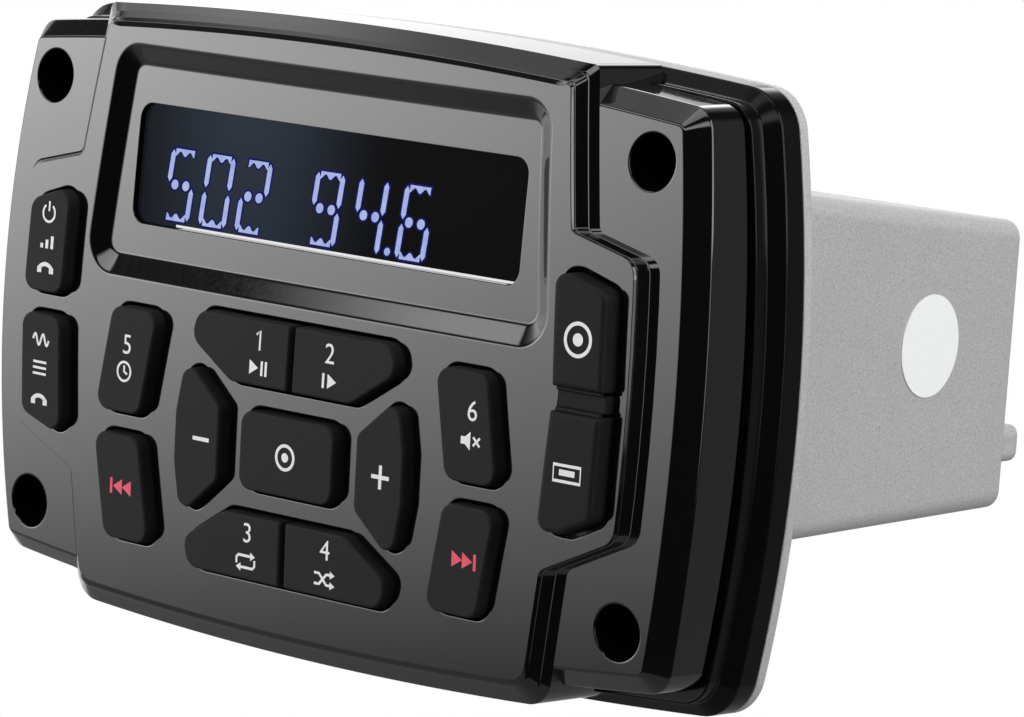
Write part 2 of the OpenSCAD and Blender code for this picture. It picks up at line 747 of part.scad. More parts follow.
// Outlines of the mat and the key board, which narrow toward the bottom of the panel
mat_points = [[-48.6, -40.6], [48.6, -40.6], [50.6, -22], [50.6, 4.6], [-50.6, 4.6], [-50.6, -22]];
board_points = [[-49, -37.8], [49, -37.8], [51.2, -20], [51.2, 36.6], [-51.2, 36.6], [-51.2, -20]];

module ear_field(d) {
    polygon(box_points(16 + 2 * d, 41 + 2 * d, [-57.2, -2]));
}

module keypad_mat() {
    color("#333436")
        difference() {
            slab(skirt_y, skirt_y + mat_t)
                difference() {
                    intersection() {
                        union() {
                            polygon(mat_points);
                            ear_field(0.4);
                        }
                        polygon(panel(panel_side_out - bezel_t - 0.3));
                    }
                    key_openings(key_skirt + 0.3 - key_gap);
                    well_shape(bezel_t + 0.3);
                }
            for (p = housing_screw_at)
                rod(p, housing_post_r + 0.3, skirt_y - cut, skirt_y + mat_t + cut);
            for (p = post_at)
                rod(p, board_post_r + 0.3, skirt_y - cut, skirt_y + mat_t + cut);
        }
}

// Outline kept clear of the middle, for the skirts of a pair
function clear_mid(pts, s) =
    s == 0 ? pts : [for (p = pts) [s > 0 ? max(p.x, 0.15) : min(p.x, -0.15), p.y]];

// A key of the row k: crowned face, body, skirt and the plunger behind it
module key(k) {
    face = rounded(grown(k[1], -key_gap - key_edge), k[2]);
    side = rounded(grown(k[1], -key_gap), k[2]);
    tip_y = panel_apex - key_rise;
    color("#343536") {
        domed([k[3].x, tip_y + crown(k[3]), k[3].y],
            [ring(face, tip_y, 1), ring(side, tip_y + key_edge, 1), ring(side, skirt_back_y)]);
        slab(skirt_y, skirt_back_y)
            polygon(clear_mid(rounded(grown(k[1], key_skirt - key_gap), k[2]), k[3].x));
        rod(k[3], 2, skirt_y, plunger_y);
    }
}

module key_power() { key(KEYS[0]); }
module key_band() { key(KEYS[1]); }
module key_1() { key(KEYS[2]); }
module key_2() { key(KEYS[3]); }
module key_3() { key(KEYS[4]); }
module key_4() { key(KEYS[5]); }
module key_5() { key(KEYS[6]); }
module key_6() { key(KEYS[7]); }
module key_previous() { key(KEYS[8]); }
module key_next() { key(KEYS[9]); }
module key_volume_down() { key(KEYS[10]); }
module key_volume_up() { key(KEYS[11]); }
module key_select() { key(KEYS[12]); }

module key_board() {
    color("#1f6b3a")
        difference() {
            slab(board_y, board_back_y)
                union() {
                    polygon(board_points);
                    ear_field(0);
                }
            for (p = housing_screw_at)
                rod(p, housing_post_r + 0.3, board_y - cut, board_back_y + cut);
            for (p = post_at)
                rod(p, screw_clear_r, board_y - cut, board_back_y + cut);
        }
}

module key_switches() {
    color("#2a2a2a")
        for (k = KEYS) {
            slab(board_y - switch_h, board_y - seat)
                polygon(box_points(6, 6, k[3]));
            rod(k[3], 1.7, stem_y, board_y - switch_h);
        }
}

module key_board_screws() {
    color("#c9cbcd")
        for (p = post_at)
            pan_screw(p, screw_r, head_r, board_y - 5, board_back_y + seat);
}

// Plate that closes the port well from behind and carries the port board on two posts
plate_lap = 1.2;
module port_plate() {
    color("#191a1c")
        difference() {
            union() {
                slab(well_y, inner_y + cut)
                    well_shape(-seat);
                slab(inner_y + seat, well_back_y)
                    intersection() {
                        well_shape(plate_lap);
                        polygon(panel(panel_side_out - bezel_t - 0.1));
                    }
                for (p = port_post_at)
                    rod(p, board_post_r, well_back_y - cut, port_board_y - seat);
            }
            for (p = port_post_at)
                rod(p, pilot_r, port_board_y - 6, port_board_y);
            rod([port_x, jack_z], jack_hole_r, well_y - cut, well_back_y + cut);
            slab(well_y - cut, well_back_y + cut)
                polygon(box_points(usb_w + 2 * usb_hole_gap, usb_h + 2 * usb_hole_gap, [port_x, usb_z]));
            rod([port_x, strap_z], anchor_r + seat, well_y - cut, well_back_y + cut);
        }
}

module port_board() {
    color("#1f6b3a")
        difference() {
            slab(port_board_y, port_board_back_y)
                polygon(box_points(13, 37, [port_x, -2]));
            for (p = port_post_at)
                rod(p, screw_clear_r, port_board_y - cut, port_board_back_y + cut);
        }
}

module port_screws() {
    color("#c9cbcd")
        for (p = port_post_at)
            pan_screw(p, screw_r, head_r, port_board_y - 5, port_board_back_y + seat);
}

module aux_jack() {
    color("#232323")
        difference() {
            union() {
                rod([port_x, jack_z], jack_r, jack_face_y, jack_face_y + 2);
                slab(jack_face_y + 2, port_board_y - seat)
                    polygon(box_points(8, 9, [port_x, jack_z]));
            }
            rod([port_x, jack_z], jack_bore_r, jack_face_y - cut, jack_face_y + jack_bore_d);
        }
}

usb_face_y = well_y + 0.4;
usb_floor = 1;
module usb_shell() {
    color("#c4c7ca")
        difference() {
            slab(usb_face_y, port_board_y - seat)
                polygon(box_points(usb_w, usb_h, [port_x, usb_z]));
            slab(usb_face_y - cut, port_board_y - usb_floor)
                polygon(box_points(usb_w - 2 * usb_wall, usb_h - 2 * usb_wall, [port_x, usb_z]));
        }
}

module usb_tongue() {
    color("#f0f0ee")
        slab(usb_face_y + 0.8, port_board_y - usb_floor - seat)
            polygon(box_points(1.9, usb_h - 2 * usb_wall - 1.2, [port_x - 0.7, usb_z]));
}

flap_back_y = well_y - 0.35;
flap_edge = 0.6;
strap_top_z = strap_z + strap_h / 2;
strap_bottom_z = strap_z - strap_h / 2;
hinge_gap = 0.15;
hinge_r = 0.4;
hinge_w = 9.4;
hinge_y = flap_front_y + crown([port_x, strap_z]) + 1;

// The well's part above or below the strap, set so that the gap leaves the hinge edge in place
aux_hinge_z = strap_top_z + hinge_gap - flap_gap;
usb_hinge_z = strap_bottom_z - hinge_gap + flap_gap;
aux_points = [[well_points[7].x, aux_hinge_z], [well_points[3].x, aux_hinge_z], well_points[4],
    well_points[5], well_points[6]];
usb_points = [well_points[0], well_points[1], well_points[2], [well_points[3].x, usb_hinge_z],
    [well_points[7].x, usb_hinge_z]];
aux_r = [0.5, 0.5, 2.4, 3, 2.8];
usb_r = [2.8, 3, 2.4, 0.5, 0.5];

// Rubber flap with a crowned face and an eased edge front and back
module flap(pts, r, c) {
    face = rounded(grown(pts, -flap_gap - flap_edge), r);
    side = rounded(grown(pts, -flap_gap), r);
    domed([c.x, flap_front_y + crown(c), c.y],
        [ring(face, flap_front_y, 1), ring(side, flap_front_y + flap_edge, 1),
            ring(side, flap_back_y - 1), ring(rounded(grown(pts, -flap_gap - 0.4), r), flap_back_y)]);
}

// Bead along a flap's hinge line
module hinge_bead(z) {
    translate([port_x + 0.4 - hinge_w / 2, hinge_y, z])
        rotate([0, 90, 0])
            cylinder(r = hinge_r, h = hinge_w);
}

module aux_flap() {
    color("#232425") {
        flap(aux_points, aux_r, [port_x, jack_z]);
        hinge_bead(strap_top_z);
        rod([port_x, jack_z], 2.3, flap_back_y - cut, well_y + 0.9);
    }
}

module usb_flap() {
    color("#232425") {
        flap(usb_points, usb_r, [port_x, usb_z]);
        hinge_bead(strap_bottom_z);
    }
}

module port_cover_strap() {
    color("#232425") {
        slab(flap_back_y - 2.6, flap_back_y)
            polygon(box_points(10, strap_h - 2 * hinge_gap, [port_x + 0.4, strap_z]));
        rod([port_x, strap_z], anchor_r, flap_back_y - cut, well_back_y + 0.6);
        rod([port_x, strap_z], 1.9, well_back_y + seat, well_back_y + 1);
    }
}

// Flat cable from the key board back to the main board, drawn in Y and Z
cable_w = 20;
cable_t = 0.3;
cable_front = [board_back_y + 3, -4];
cable_rear = [9, board_z + board_t + 2.4];
module ribbon_cable() {
    route = [cable_front, cable_front + [3, 0], [0, -6], cable_rear - [3, 0], cable_rear];
    color("#d9d6c8")
        translate([-cable_w / 2, 0, 0])
            rotate([90, 0, 90])
                linear_extrude(cable_w)
                    polygon(concat(moved(route, [0, cable_t / 2]),
                        [for (i = [len(route) - 1 : -1 : 0]) route[i] - [0, cable_t / 2]]));
}

module ribbon_sockets() {
    color("#f0eee6") {
        slab(board_back_y + seat, cable_front.x - seat)
            polygon(box_points(cable_w + 4, 5, [0, cable_front.y]));
        translate([-cable_w / 2 - 2, cable_rear.x + seat, board_z + board_t + seat])
            cube([cable_w + 4, 5, 4.4]);
    }
}

main_board_w = 116;
main_board_d = 54;
main_board_y = 4;
module main_board() {
    color("#1f6b3a")
        difference() {
            translate([-main_board_w / 2, main_board_y, board_z])
                cube([main_board_w, main_board_d, board_t]);
            for (p = standoff_at)
                translate([p.x, p.y, board_z - cut])
                    cylinder(r = screw_clear_r, h = board_t + 2 * cut);
        }
}

// Part standing on the main board
module on_board(at, size) {
    translate([at.x - size.x / 2, at.y - size.y / 2, board_z + board_t + seat])
        cube(size);
}

module main_board_screws() {
    color("#c9cbcd")
        for (p = standoff_at) {
            translate([p.x, p.y, board_z - 6])
                cylinder(r = screw_r, h = 6 + board_t + seat);
            translate([p.x, p.y, board_z + board_t + seat])
                cylinder(r = head_r, h = head_h);
        }
}

chip_t = 4.5;
chip_y = inside_back_y - 2 - seat - chip_t;
module amplifier_chip() {
    color("#1c1c1c") {
        slab(chip_y, chip_y + chip_t)
            polygon(box_points(25, 15, chip_at));
        for (i = [-5 : 5])
            translate([i * 2 - 0.3, chip_y + 1.6, board_z + board_t + seat])
                cube([0.6, 0.5, chip_at.y - 7.4 - board_z - board_t]);
    }
}

module chip_clamp() {
    color("#b9bcc0")
        difference() {
            union() {
                slab(chip_y - 1.2, chip_y - seat)
                    polygon(box_points(16, 12, [0, 7]));
                slab(chip_y - 1.2, inside_back_y - 2 - seat)
                    polygon(box_points(16, 5, [0, 12.3]));
            }
            rod(clamp_screw_at, screw_clear_r, chip_y - 2, inside_back_y);
        }
}

module clamp_screw() {
    color("#c9cbcd") {
        rod(clamp_screw_at, screw_r, chip_y - 1.2 - seat, inside_back_y);
        rod(clamp_screw_at, head_r, chip_y - 1.2 - seat - head_h, chip_y - 1.2 - seat);
    }
}

module tuner_can() {
    color("#c4c7ca")
        on_board([36, 30], [24, 20, 8]);
}

module bluetooth_module() {
    color("#245c8a")
        on_board([-40, 22], [18, 14, 2.4]);
}

module control_chip() {
    color("#1c1c1c")
        on_board([0, 30], [14, 14, 1.6]);
}

capacitor_x = [-46, -34, -22];
capacitor_y = 42;
module capacitors() {
    color("#26304a")
        for (x = capacitor_x)
            translate([x, capacitor_y, board_z + board_t + seat])
                cylinder(r = 5, h = 15);
}

choke_at = [17, 49];
module choke() {
    color("#7a4a24")
        translate([choke_at.x, choke_at.y, board_z + board_t + seat])
            difference() {
                cylinder(r = 7.5, h = 7);
                translate([0, 0, -cut])
                    cylinder(r = 3, h = 7 + 2 * cut);
            }
}

module harness_grommet() {
    lip = 1.6;
    color("#222222")
        difference() {
            union() {
                rod(grommet_at, grommet_r - seat, inside_back_y - lip, housing_d + lip);
                rod(grommet_at, grommet_r + 1.8, housing_d + seat, housing_d + lip + 1);
                rod(grommet_at, grommet_r + 1.8, inside_back_y - lip - 1, inside_back_y - seat);
            }
            rod(grommet_at, grommet_r - 2.6, inside_back_y - 8, housing_d + 8);
        }
}

module antenna_socket() {
    color("#d0d2d4")
        difference() {
            union() {
                rod(antenna_at, antenna_r - seat, inside_back_y - 4, housing_d + 6);
                rod(antenna_at, antenna_r + 1.5, housing_d + seat, housing_d + 1.6);
            }
            rod(antenna_at, 3.9, inside_back_y + 1, housing_d + 6 + cut);
        }
}

sticker_r = 8.1;
sticker_at = [44.6, 5.5];
sticker_t = 0.2;
module round_sticker() {
    color("#f6f8f8")
        translate([housing_w / 2 - sticker_at.x * tan(side_draft), sticker_at.x, sticker_at.y])
            rotate([0, 0, side_draft])
                rotate([0, 90, 0])
                    cylinder(r = sticker_r, h = sticker_t);
}

front_bezel();
base_frame();
rear_housing();
bezel_seal();
display_window();
lcd_panel();
lcd_frame();
backlight();
keypad_mat();
key_power();
key_band();
key_1();
key_2();
key_3();
key_4();
key_5();
key_6();
key_previous();
key_next();
key_volume_down();
key_volume_up();
key_select();
port_cover_strap();
aux_flap();
usb_flap();
aux_jack();
usb_shell();
usb_tongue();
port_plate();
port_board();
port_screws();
key_board();
key_switches();
key_board_screws();
housing_screws();
ribbon_cable();
ribbon_sockets();
main_board();
main_board_screws();
amplifier_chip();
chip_clamp();
clamp_screw();
tuner_can();
bluetooth_module();
control_chip();
capacitors();
choke();
harness_grommet();
antenna_socket();
round_sticker();
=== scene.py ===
"""Looks of the flush-mount marine stereo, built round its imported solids.

Sizes are in millimetres until a mesh is made; the scene itself is in metres.
"""

import math

import bpy
import numpy as np
from mathutils import Matrix
from mathutils.geometry import delaunay_2d_cdt


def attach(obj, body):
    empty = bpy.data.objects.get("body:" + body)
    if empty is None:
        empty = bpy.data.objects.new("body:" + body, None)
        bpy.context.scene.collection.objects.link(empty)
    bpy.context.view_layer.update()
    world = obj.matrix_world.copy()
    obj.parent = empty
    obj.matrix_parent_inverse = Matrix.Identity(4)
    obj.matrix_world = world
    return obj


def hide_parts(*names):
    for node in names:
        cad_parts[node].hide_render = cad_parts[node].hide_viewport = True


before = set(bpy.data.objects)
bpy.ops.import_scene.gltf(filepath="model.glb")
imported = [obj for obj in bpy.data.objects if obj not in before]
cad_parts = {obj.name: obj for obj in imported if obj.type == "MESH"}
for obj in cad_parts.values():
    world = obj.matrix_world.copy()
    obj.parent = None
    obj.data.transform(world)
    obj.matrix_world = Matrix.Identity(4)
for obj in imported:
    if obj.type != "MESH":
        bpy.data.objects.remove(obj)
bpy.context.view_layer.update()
scene = bpy.context.scene
scene.view_settings.view_transform = "Standard"

# Camera: stands to the right of the stereo and a little above it, about 0.8 m away.
# Its place was worked out from the four screw holes in the photograph.
SENSOR_MM, FOCAL_PIXELS, FRAME_PIXELS = 36, 5300, 1024
CAMERA_PLACE = (0.56858, -0.60844, 0.098557)
azimuth, elevation, roll = (math.radians(a) for a in (42.0486, 6.9270, 4.1348))
back = np.array([math.sin(azimuth) * math.cos(elevation),
                 -math.cos(azimuth) * math.cos(elevation), math.sin(elevation)])
level = np.cross(-back, (0, 0, 1))
level /= np.linalg.norm(level)
rise = np.cross(level, -back)
right = math.cos(roll) * level + math.sin(roll) * rise
above = math.cos(roll) * rise - math.sin(roll) * level


def set_at(place, *axes):
    """World matrix whose columns are the directions of an object's three axes and its place."""
    columns = np.eye(4)
    columns[:3] = np.column_stack([*axes, place])
    return Matrix(columns.tolist())


camera_data = bpy.data.cameras.new("camera")
camera_data.sensor_width = SENSOR_MM
camera_data.lens = SENSOR_MM * FOCAL_PIXELS / FRAME_PIXELS
camera_data.clip_start = 0.01
camera = bpy.data.objects.new("camera", camera_data)
camera.matrix_world = set_at(CAMERA_PLACE, right, above, back)
scene.collection.objects.link(camera)
scene.camera = camera


# Rear housing: one aluminium die casting, drafted so that it leaves its mould, with a flat
# flange that seats on the panel. Bead blasting leaves it matt with a fine grain.
def srgb(code):
    """Linear colour of an sRGB hex value: a straight toe, then a power of 2.4."""
    c = np.array([int(code[i:i + 2], 16) for i in (1, 3, 5)]) / 255
    linear = np.where(c <= 0.04045, c / 12.92, ((c + 0.055) / 1.055) ** 2.4)
    return (*linear.tolist(), 1.0)


def add(tree, kind, sockets=None, **settings):
    """One node with its settings, its values and the links into it."""
    made = tree.nodes.new(kind)
    for name, value in settings.items():
        setattr(made, name, value)
    for name, value in (sockets or {}).items():
        if isinstance(value, bpy.types.NodeSocket):
            tree.links.new(value, made.inputs[name])
        else:
            made.inputs[name].default_value = value
    return made


def material(name):
    """New material: itself, its tree, its shader and the Object coordinates."""
    made = bpy.data.materials.new(name)
    made.use_nodes = True
    tree = made.node_tree
    at = add(tree, "ShaderNodeTexCoord").outputs["Object"]
    return made, tree, tree.nodes["Principled BSDF"], at


def on_circle(centre, r, t):
    """Points of a circle at the angles t."""
    return np.array(centre) + r * np.stack([np.cos(t), np.sin(t)], 1)


def circle(centre, r, n=40):
    """Circle of n points, counter-clockwise seen from the front."""
    return on_circle(centre, r, np.arange(n) * 2 * math.pi / n)


def rectangle(x0, z0, x1, z1):
    """Four corners between two opposite ones, counter-clockwise seen from the front."""
    return np.array([(x0, z0), (x1, z0), (x1, z1), (x0, z1)])


def rounded(points, radii, grow=0.0, step=1.6, arc=8, like=None):
    """Polygon whose edges move out by grow, with an arc at each corner and even points between.

    A corner lies where its two moved edges cross. The number of points comes from the polygon
    like, so that outlines of one family match.
    """
    p = np.array(points, float)
    n = len(p)
    r = np.broadcast_to(np.array(radii, float), (n,))
    edge = np.roll(p, -1, 0) - p
    unit = edge / np.linalg.norm(edge, axis=1)[:, None]
    after = np.stack([unit[:, 1], -unit[:, 0]], 1)
    before = np.roll(after, 1, 0)
    out = np.broadcast_to(np.array(grow, float), (n,))
    moves = np.stack([np.roll(out, 1), out], 1)[..., None]
    q = p + np.linalg.solve(np.stack([before, after], 1), moves)[..., 0]
    model = p if like is None else np.array(like, float)
    lengths = np.linalg.norm(np.roll(model, -1, 0) - model, axis=1)
    runs = np.maximum(np.ceil(lengths / step).astype(int), 1)
    corners = []
    for i in range(n):
        u, v = q[i - 1] - q[i], q[(i + 1) % n] - q[i]
        u, v = u / np.linalg.norm(u), v / np.linalg.norm(v)
        if r[i] == 0:
            corners.append(q[i][None])
            continue
        half = math.acos(np.clip(u @ v, -1, 1)) / 2
        centre = q[i] + (u + v) / np.linalg.norm(u + v) * r[i] / math.sin(half)
        start = q[i] + u * r[i] / math.tan(half) - centre
        end = q[i] + v * r[i] / math.tan(half) - centre
        a = math.atan2(start[1], start[0])
        turn = (math.atan2(end[1], end[0]) - a + 3 * math.pi) % (2 * math.pi) - math.pi
        corners.append(on_circle(centre, r[i], a + turn * np.linspace(0, 1, arc)))
    parts = []
    for i in range(n):
        a, b = corners[i][-1], corners[(i + 1) % n][0]
        t = np.arange(1, runs[i]) / runs[i]
        parts += [corners[i], a + (b - a) * t[:, None]]
    return np.concatenate(parts)


CROWN_X, CROWN_Z = 1850, 650


def crown(x, z):
    """How far the crowned front lies behind its highest point: each square over twice a radius."""
    return x ** 2 / (2 * CROWN_X) + z ** 2 / (2 * CROWN_Z)


def lift(p, y, bend=0.0):
    """Outline set at depth y, with the share bend of the front's crown."""
    return np.column_stack([p[:, 0], y + bend * crown(p[:, 0], p[:, 1]), p[:, 1]])


def eased(profile, r, n=4):
    """Profile with a quadratic curve of size r at each inner corner, and a point on either side.

    A curve takes 0.4 of a leg at most, and the points stand 1.2 times as far from the corner.
    """
    p = np.array([(*row, 0.0)[:3] for row in profile], float)
    out = [p[:1]]
    t = np.linspace(0, 1, n + 1)[:, None]
    for a, c, b in zip(p[:-2], p[1:-1], p[2:]):
        u, v = a - c, b - c
        ru, rv = min(r / np.linalg.norm(u[:2]), 0.4), min(r / np.linalg.norm(v[:2]), 0.4)
        start, end = c + u * ru, c + v * rv
        curve = (1 - t) ** 2 * start + 2 * t * (1 - t) * c + t ** 2 * end
        out += [(c + u * ru * 1.2)[None], curve, (c + v * rv * 1.2)[None]]
    return np.concatenate([*out, p[-1:]])


def joined(rows, turned=False):
    """Surface of quads through closed outlines that are already placed, one after another."""
    rows = np.stack(rows)
    count, n = rows.shape[:2]
    i, j = np.meshgrid(np.arange(count - 1), np.arange(n), indexing="ij")
    a, b = i * n + j, i * n + (j + 1) % n
    quads = np.stack([a, a + n, b + n, b], -1).reshape(-1, 4)
    return rows.reshape(-1, 3), quads[:, ::-1] if turned else quads


def carried(outline, profile, turned=False):
    """Surface of a profile carried round an outline: rows of (widening, depth, share of crown)."""
    return joined([lift(outline(d), y, bend) for d, y, bend in profile], turned)


def inside(p, outline):
    """Which points lie inside a closed outline, by counting crossings."""
    a, b = outline, np.roll(outline, -1, 0)
    x, z = p[:, :1], p[:, 1:]
    height = np.where(b[:, 1] == a[:, 1], 1e-12, b[:, 1] - a[:, 1])
    crossing = (b[:, 0] - a[:, 0]) * (z - a[:, 1]) / height + a[:, 0]
    hit = ((a[:, 1] > z) != (b[:, 1] > z)) & (x < crossing)
    return hit.sum(1) % 2 == 1


def in_any(p, outlines):
    """Which points lie inside at least one of several outlines."""
    return np.any([inside(p, outline) for outline in outlines], axis=0)


def between(outer, holes):
    """Test for points that lie inside an outline and outside its holes."""
    return lambda p: inside(p, outer) & ~in_any(p, holes)


def filled(outer, y, holes=(), bend=0.0, spacing=2.4, turned=False, kept=None):
    """Flat or crowned sheet within an outline and round its holes.

    The outlines and a square grid of points are joined into triangles. Those whose middles lie
    inside the outline and outside the holes stay, or those that kept allows.
    """
    kept = kept or between(outer, holes)
    loops = [outer, *holes]
    edge_points = np.concatenate(loops)
    starts = np.cumsum([0] + [len(loop) for loop in loops])
    edges = np.concatenate([np.stack([np.arange(a, b), np.roll(np.arange(a, b), -1)], 1)
                            for a, b in zip(starts[:-1], starts[1:])])
    low, high = edge_points.min(0), edge_points.max(0)
    axes = [np.arange(low[i], high[i], spacing) for i in (0, 1)]
    grid = np.stack(np.meshgrid(*axes), -1).reshape(-1, 2)
    grid = grid[kept(grid)]
    # Grid points within 0.45 of the spacing from an outline would make slivers, so they go.
    # Their distances are worked out for 400 points at a time, which saves memory.
    blocks = np.array_split(grid, 1 + len(grid) // 400)
    near = np.concatenate([((block[:, None] - edge_points[None]) ** 2).sum(-1).min(1)
                           for block in blocks])
    points = np.concatenate([edge_points, grid[near > (0.45 * spacing) ** 2]])
    found, _, faces, *_ = delaunay_2d_cdt(points.tolist(), edges.tolist(), [], 0, 1e-6)
    flat = np.array([tuple(v) for v in found])
    triangles = np.array(faces)
    triangles = triangles[kept(flat[triangles].mean(1))]
    return lift(flat, y, bend), triangles[:, ::-1] if turned else triangles


WELD = 2e-4


def put(name, patches, finish, body, replaced=(), crease=32):
    """Patches made one mesh that rides on a body and stands for the replaced nodes.

    Points in one cell of size WELD become one, and faces that this leaves without area go.
    """
    points = np.concatenate([p for p, _ in patches])
    offsets = np.cumsum([0] + [len(p) for p, _ in patches])
    _, first, same = np.unique(np.round(points / WELD), axis=0,
                               return_index=True, return_inverse=True)
    same = same.reshape(-1)
    corners = [same[faces + offset].tolist() for (_, faces), offset in zip(patches, offsets)]
    faces = [list(dict.fromkeys(face)) for patch in corners for face in patch
             if len(set(face)) > 2]
    mesh = bpy.data.meshes.new(name)
    mesh.from_pydata((points[first] * 0.001).tolist(), [], faces)
    mesh.validate()
    mesh.polygons.foreach_set("use_smooth", np.ones(len(mesh.polygons), bool))
    mesh.set_sharp_from_angle(angle=math.radians(crease))
    piece = bpy.data.objects.new(name, mesh)
    scene.collection.objects.link(piece)
    mesh.materials.append(finish)
    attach(piece, body)
    if replaced:
        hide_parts(*replaced)
    return piece


cast, tree, shader, at = material("bead_blasted_cast_aluminium")
# The blasted skin has grains of about 0.3 mm, and faint cloudy marks some 15 mm across.
grain = add(tree, "ShaderNodeTexNoise",
            {"Vector": at, "Scale": 1 / 0.0003, "Detail": 4.0, "Roughness": 0.6})
cloud = add(tree, "ShaderNodeTexNoise", {"Vector": at, "Scale": 1 / 0.015, "Detail": 3.0})
tint = add(tree, "ShaderNodeMix",
           {0: cloud.outputs["Fac"], 6: srgb("#b2b2b2"), 7: srgb("#bcbcbc")}, data_type="RGBA")
fleck = add(tree, "ShaderNodeMapRange",
            {"Value": grain.outputs["Fac"], "From Min": 0.34, "From Max": 0.62})
speck = add(tree, "ShaderNodeMix",
            {0: fleck.outputs["Result"], 6: srgb("#9c9c9c"), 7: tint.outputs[2]}, data_type="RGBA")
tree.links.new(speck.outputs[2], shader.inputs["Base Color"])
dull = add(tree, "ShaderNodeMapRange",
           {"Value": grain.outputs["Fac"], "To Min": 0.58, "To Max": 0.74})
tree.links.new(dull.outputs["Result"], shader.inputs["Roughness"])
bump = add(tree, "ShaderNodeBump",
           {"Strength": 0.2, "Distance": 0.00005, "Height": grain.outputs["Fac"]})
tree.links.new(bump.outputs["Normal"], shader.inputs["Normal"])
shader.inputs["Metallic"].default_value = 0.3
shader.inputs["Specular IOR Level"].default_value = 0.2

HOUSING_DEPTH, HOUSING_RADIUS, REAR_RADIUS, REAR_WALL = 69.5, 3.0, 1.0, 2.6
ROOT_RADIUS = 1.4
FLANGE_T, FLANGE_FRONT, FLANGE_WIDER, FLANGE_ROUND = 1.9, -1.85, 6.3, 0.45
SCREW_X, SCREW_Z, SCREW_HOLE_R = 64.4, 35.0, 2.3
BOSS_RADIUS, BOSS_END = 1.6, 73.2


def housing_points(y, d=0.0):
    """Corners of the box at depth y, drawn in by d: each side leans in by its own draft angle."""
    w, top, low = (half - y * math.tan(math.radians(draft)) - d
                   for half, draft in ((71, 5.4), (31, 5.6), (23.2, 0.8)))
    return [(-w, -low), (w, -low), (w, top), (-w, top)]


def housing_row(y, d=0.0):
    """Section of the drafted box at depth y, drawn in by d."""
    return lift(rounded(housing_points(y, d), HOUSING_RADIUS - d, step=3, arc=12,
                        like=housing_points(0)), y)


def bowed(half_w, half_h, side_r, top_r, corner_r):
    """Outline of four bowed edges with tangent corner arcs.

    A corner's arc has its centre where the side's and the top's circles, drawn in by the corner's
    radius, cross.
    """
    a, b = np.array([half_w - side_r, 0]), np.array([0, half_h - top_r])
    ra, rb = side_r - corner_r, top_r - corner_r
    gap = np.linalg.norm(b - a)
    u = (b - a) / gap
    s = (ra ** 2 - rb ** 2 + gap ** 2) / (2 * gap)
    h = math.sqrt(ra ** 2 - s ** 2)
    c = a + s * u + h * np.array([u[1], -u[0]])
    c = c if c.min() > 0 else a + s * u - h * np.array([u[1], -u[0]])
    a1, a2 = math.atan2(*(c - a)[::-1]), math.atan2(*(c - b)[::-1])
    quarter = np.concatenate([on_circle(a, side_r, np.linspace(0, a1, 22)[:-1]),
                              on_circle(c, corner_r, np.linspace(a1, a2, 12)),
                              on_circle(b, top_r, np.linspace(a2, math.pi / 2, 30)[1:])])
    left = (quarter * (-1, 1))[-2::-1]
    upper = np.concatenate([quarter, left])
    return np.concatenate([upper, -upper[1:-1]])


def seat_ring(d):
    """Outline of the base frame and the flange, widened by d; it lies 0.85 mm below the middle."""
    return bowed(73 + d, 43.9 + d, 215 + d, 850 + d, 1.2 + max(d, 0)) - (0, 0.85)


def boss(side):
    """Outline of the cast boss at one side of the rear, as a function of its widening."""
    points = rectangle(-4, -3.1, 4, 3.1) + (side * 60.4, -11.8)
    return lambda d: rounded(points, BOSS_RADIUS, d, 1.0)


corner_holes = [(sx * SCREW_X, sz * SCREW_Z) for sx in (-1, 1) for sz in (-1, 1)]
housing_screws = [(-32, 40.4), (32, 40.4), (-26.6, -41.6), (26.6, -41.6)]
turns = np.linspace(0, math.pi / 2, 9)
housing_rows = [housing_row(ROOT_RADIUS * (1 - math.cos(t)), -ROOT_RADIUS * (1 - math.sin(t)))
                for t in turns]
housing_rows += [housing_row(y) for y in np.linspace(6, HOUSING_DEPTH - REAR_RADIUS - 0.6, 8)]
housing_rows += [housing_row(HOUSING_DEPTH - REAR_RADIUS * (1 - math.sin(t)),
                             REAR_RADIUS * (1 - math.cos(t))) for t in turns]
rear_edge, flange_hole = housing_rows[-1][:, [0, 2]], housing_rows[0][:, [0, 2]]
rear_holes = [circle((-22, 4), 7), circle((24, 4), 5)]
screw_holes = [circle(c, SCREW_HOLE_R) for c in corner_holes]
flange_holes = screw_holes + [circle(c, 2.9) for c in housing_screws]
flange_profile = eased([(2, FLANGE_FRONT), (FLANGE_WIDER, FLANGE_FRONT), (FLANGE_WIDER, 0),
                        (FLANGE_WIDER - FLANGE_ROUND, 0)], 0.3)
flange_edge = seat_ring(FLANGE_WIDER - FLANGE_ROUND)
housing_patches = [
    joined(housing_rows),
    filled(rear_edge, HOUSING_DEPTH, rear_holes, spacing=6, turned=True),
    carried(seat_ring, flange_profile),
    filled(flange_edge, 0, [flange_hole, *flange_holes], spacing=5, turned=True)]
for hole in rear_holes:
    housing_patches.append(joined([lift(hole, HOUSING_DEPTH - REAR_WALL),
                                   lift(hole, HOUSING_DEPTH)], turned=True))
for hole in flange_holes:
    housing_patches.append(joined([lift(hole, -FLANGE_T), lift(hole, 0)], turned=True))
boss_profile = eased([(0, 66.5), (-0.15, BOSS_END), (-BOSS_RADIUS, BOSS_END)], 0.7, 6)
for side in (-1, 1):
    housing_patches += [carried(boss(side), boss_profile),
                        filled(boss(side)(-BOSS_RADIUS), BOSS_END, spacing=1.2, turned=True)]
put("housing_casting", housing_patches, cast, "stereo", ["rear_housing"])


# Base frame: black moulded ring between the bezel and the housing. Its lip stands out past the
# bezel behind a narrow shadow gap, and a sloped shoulder widens it to the flange.
satin, tree, shader, at = material("satin_black_abs")
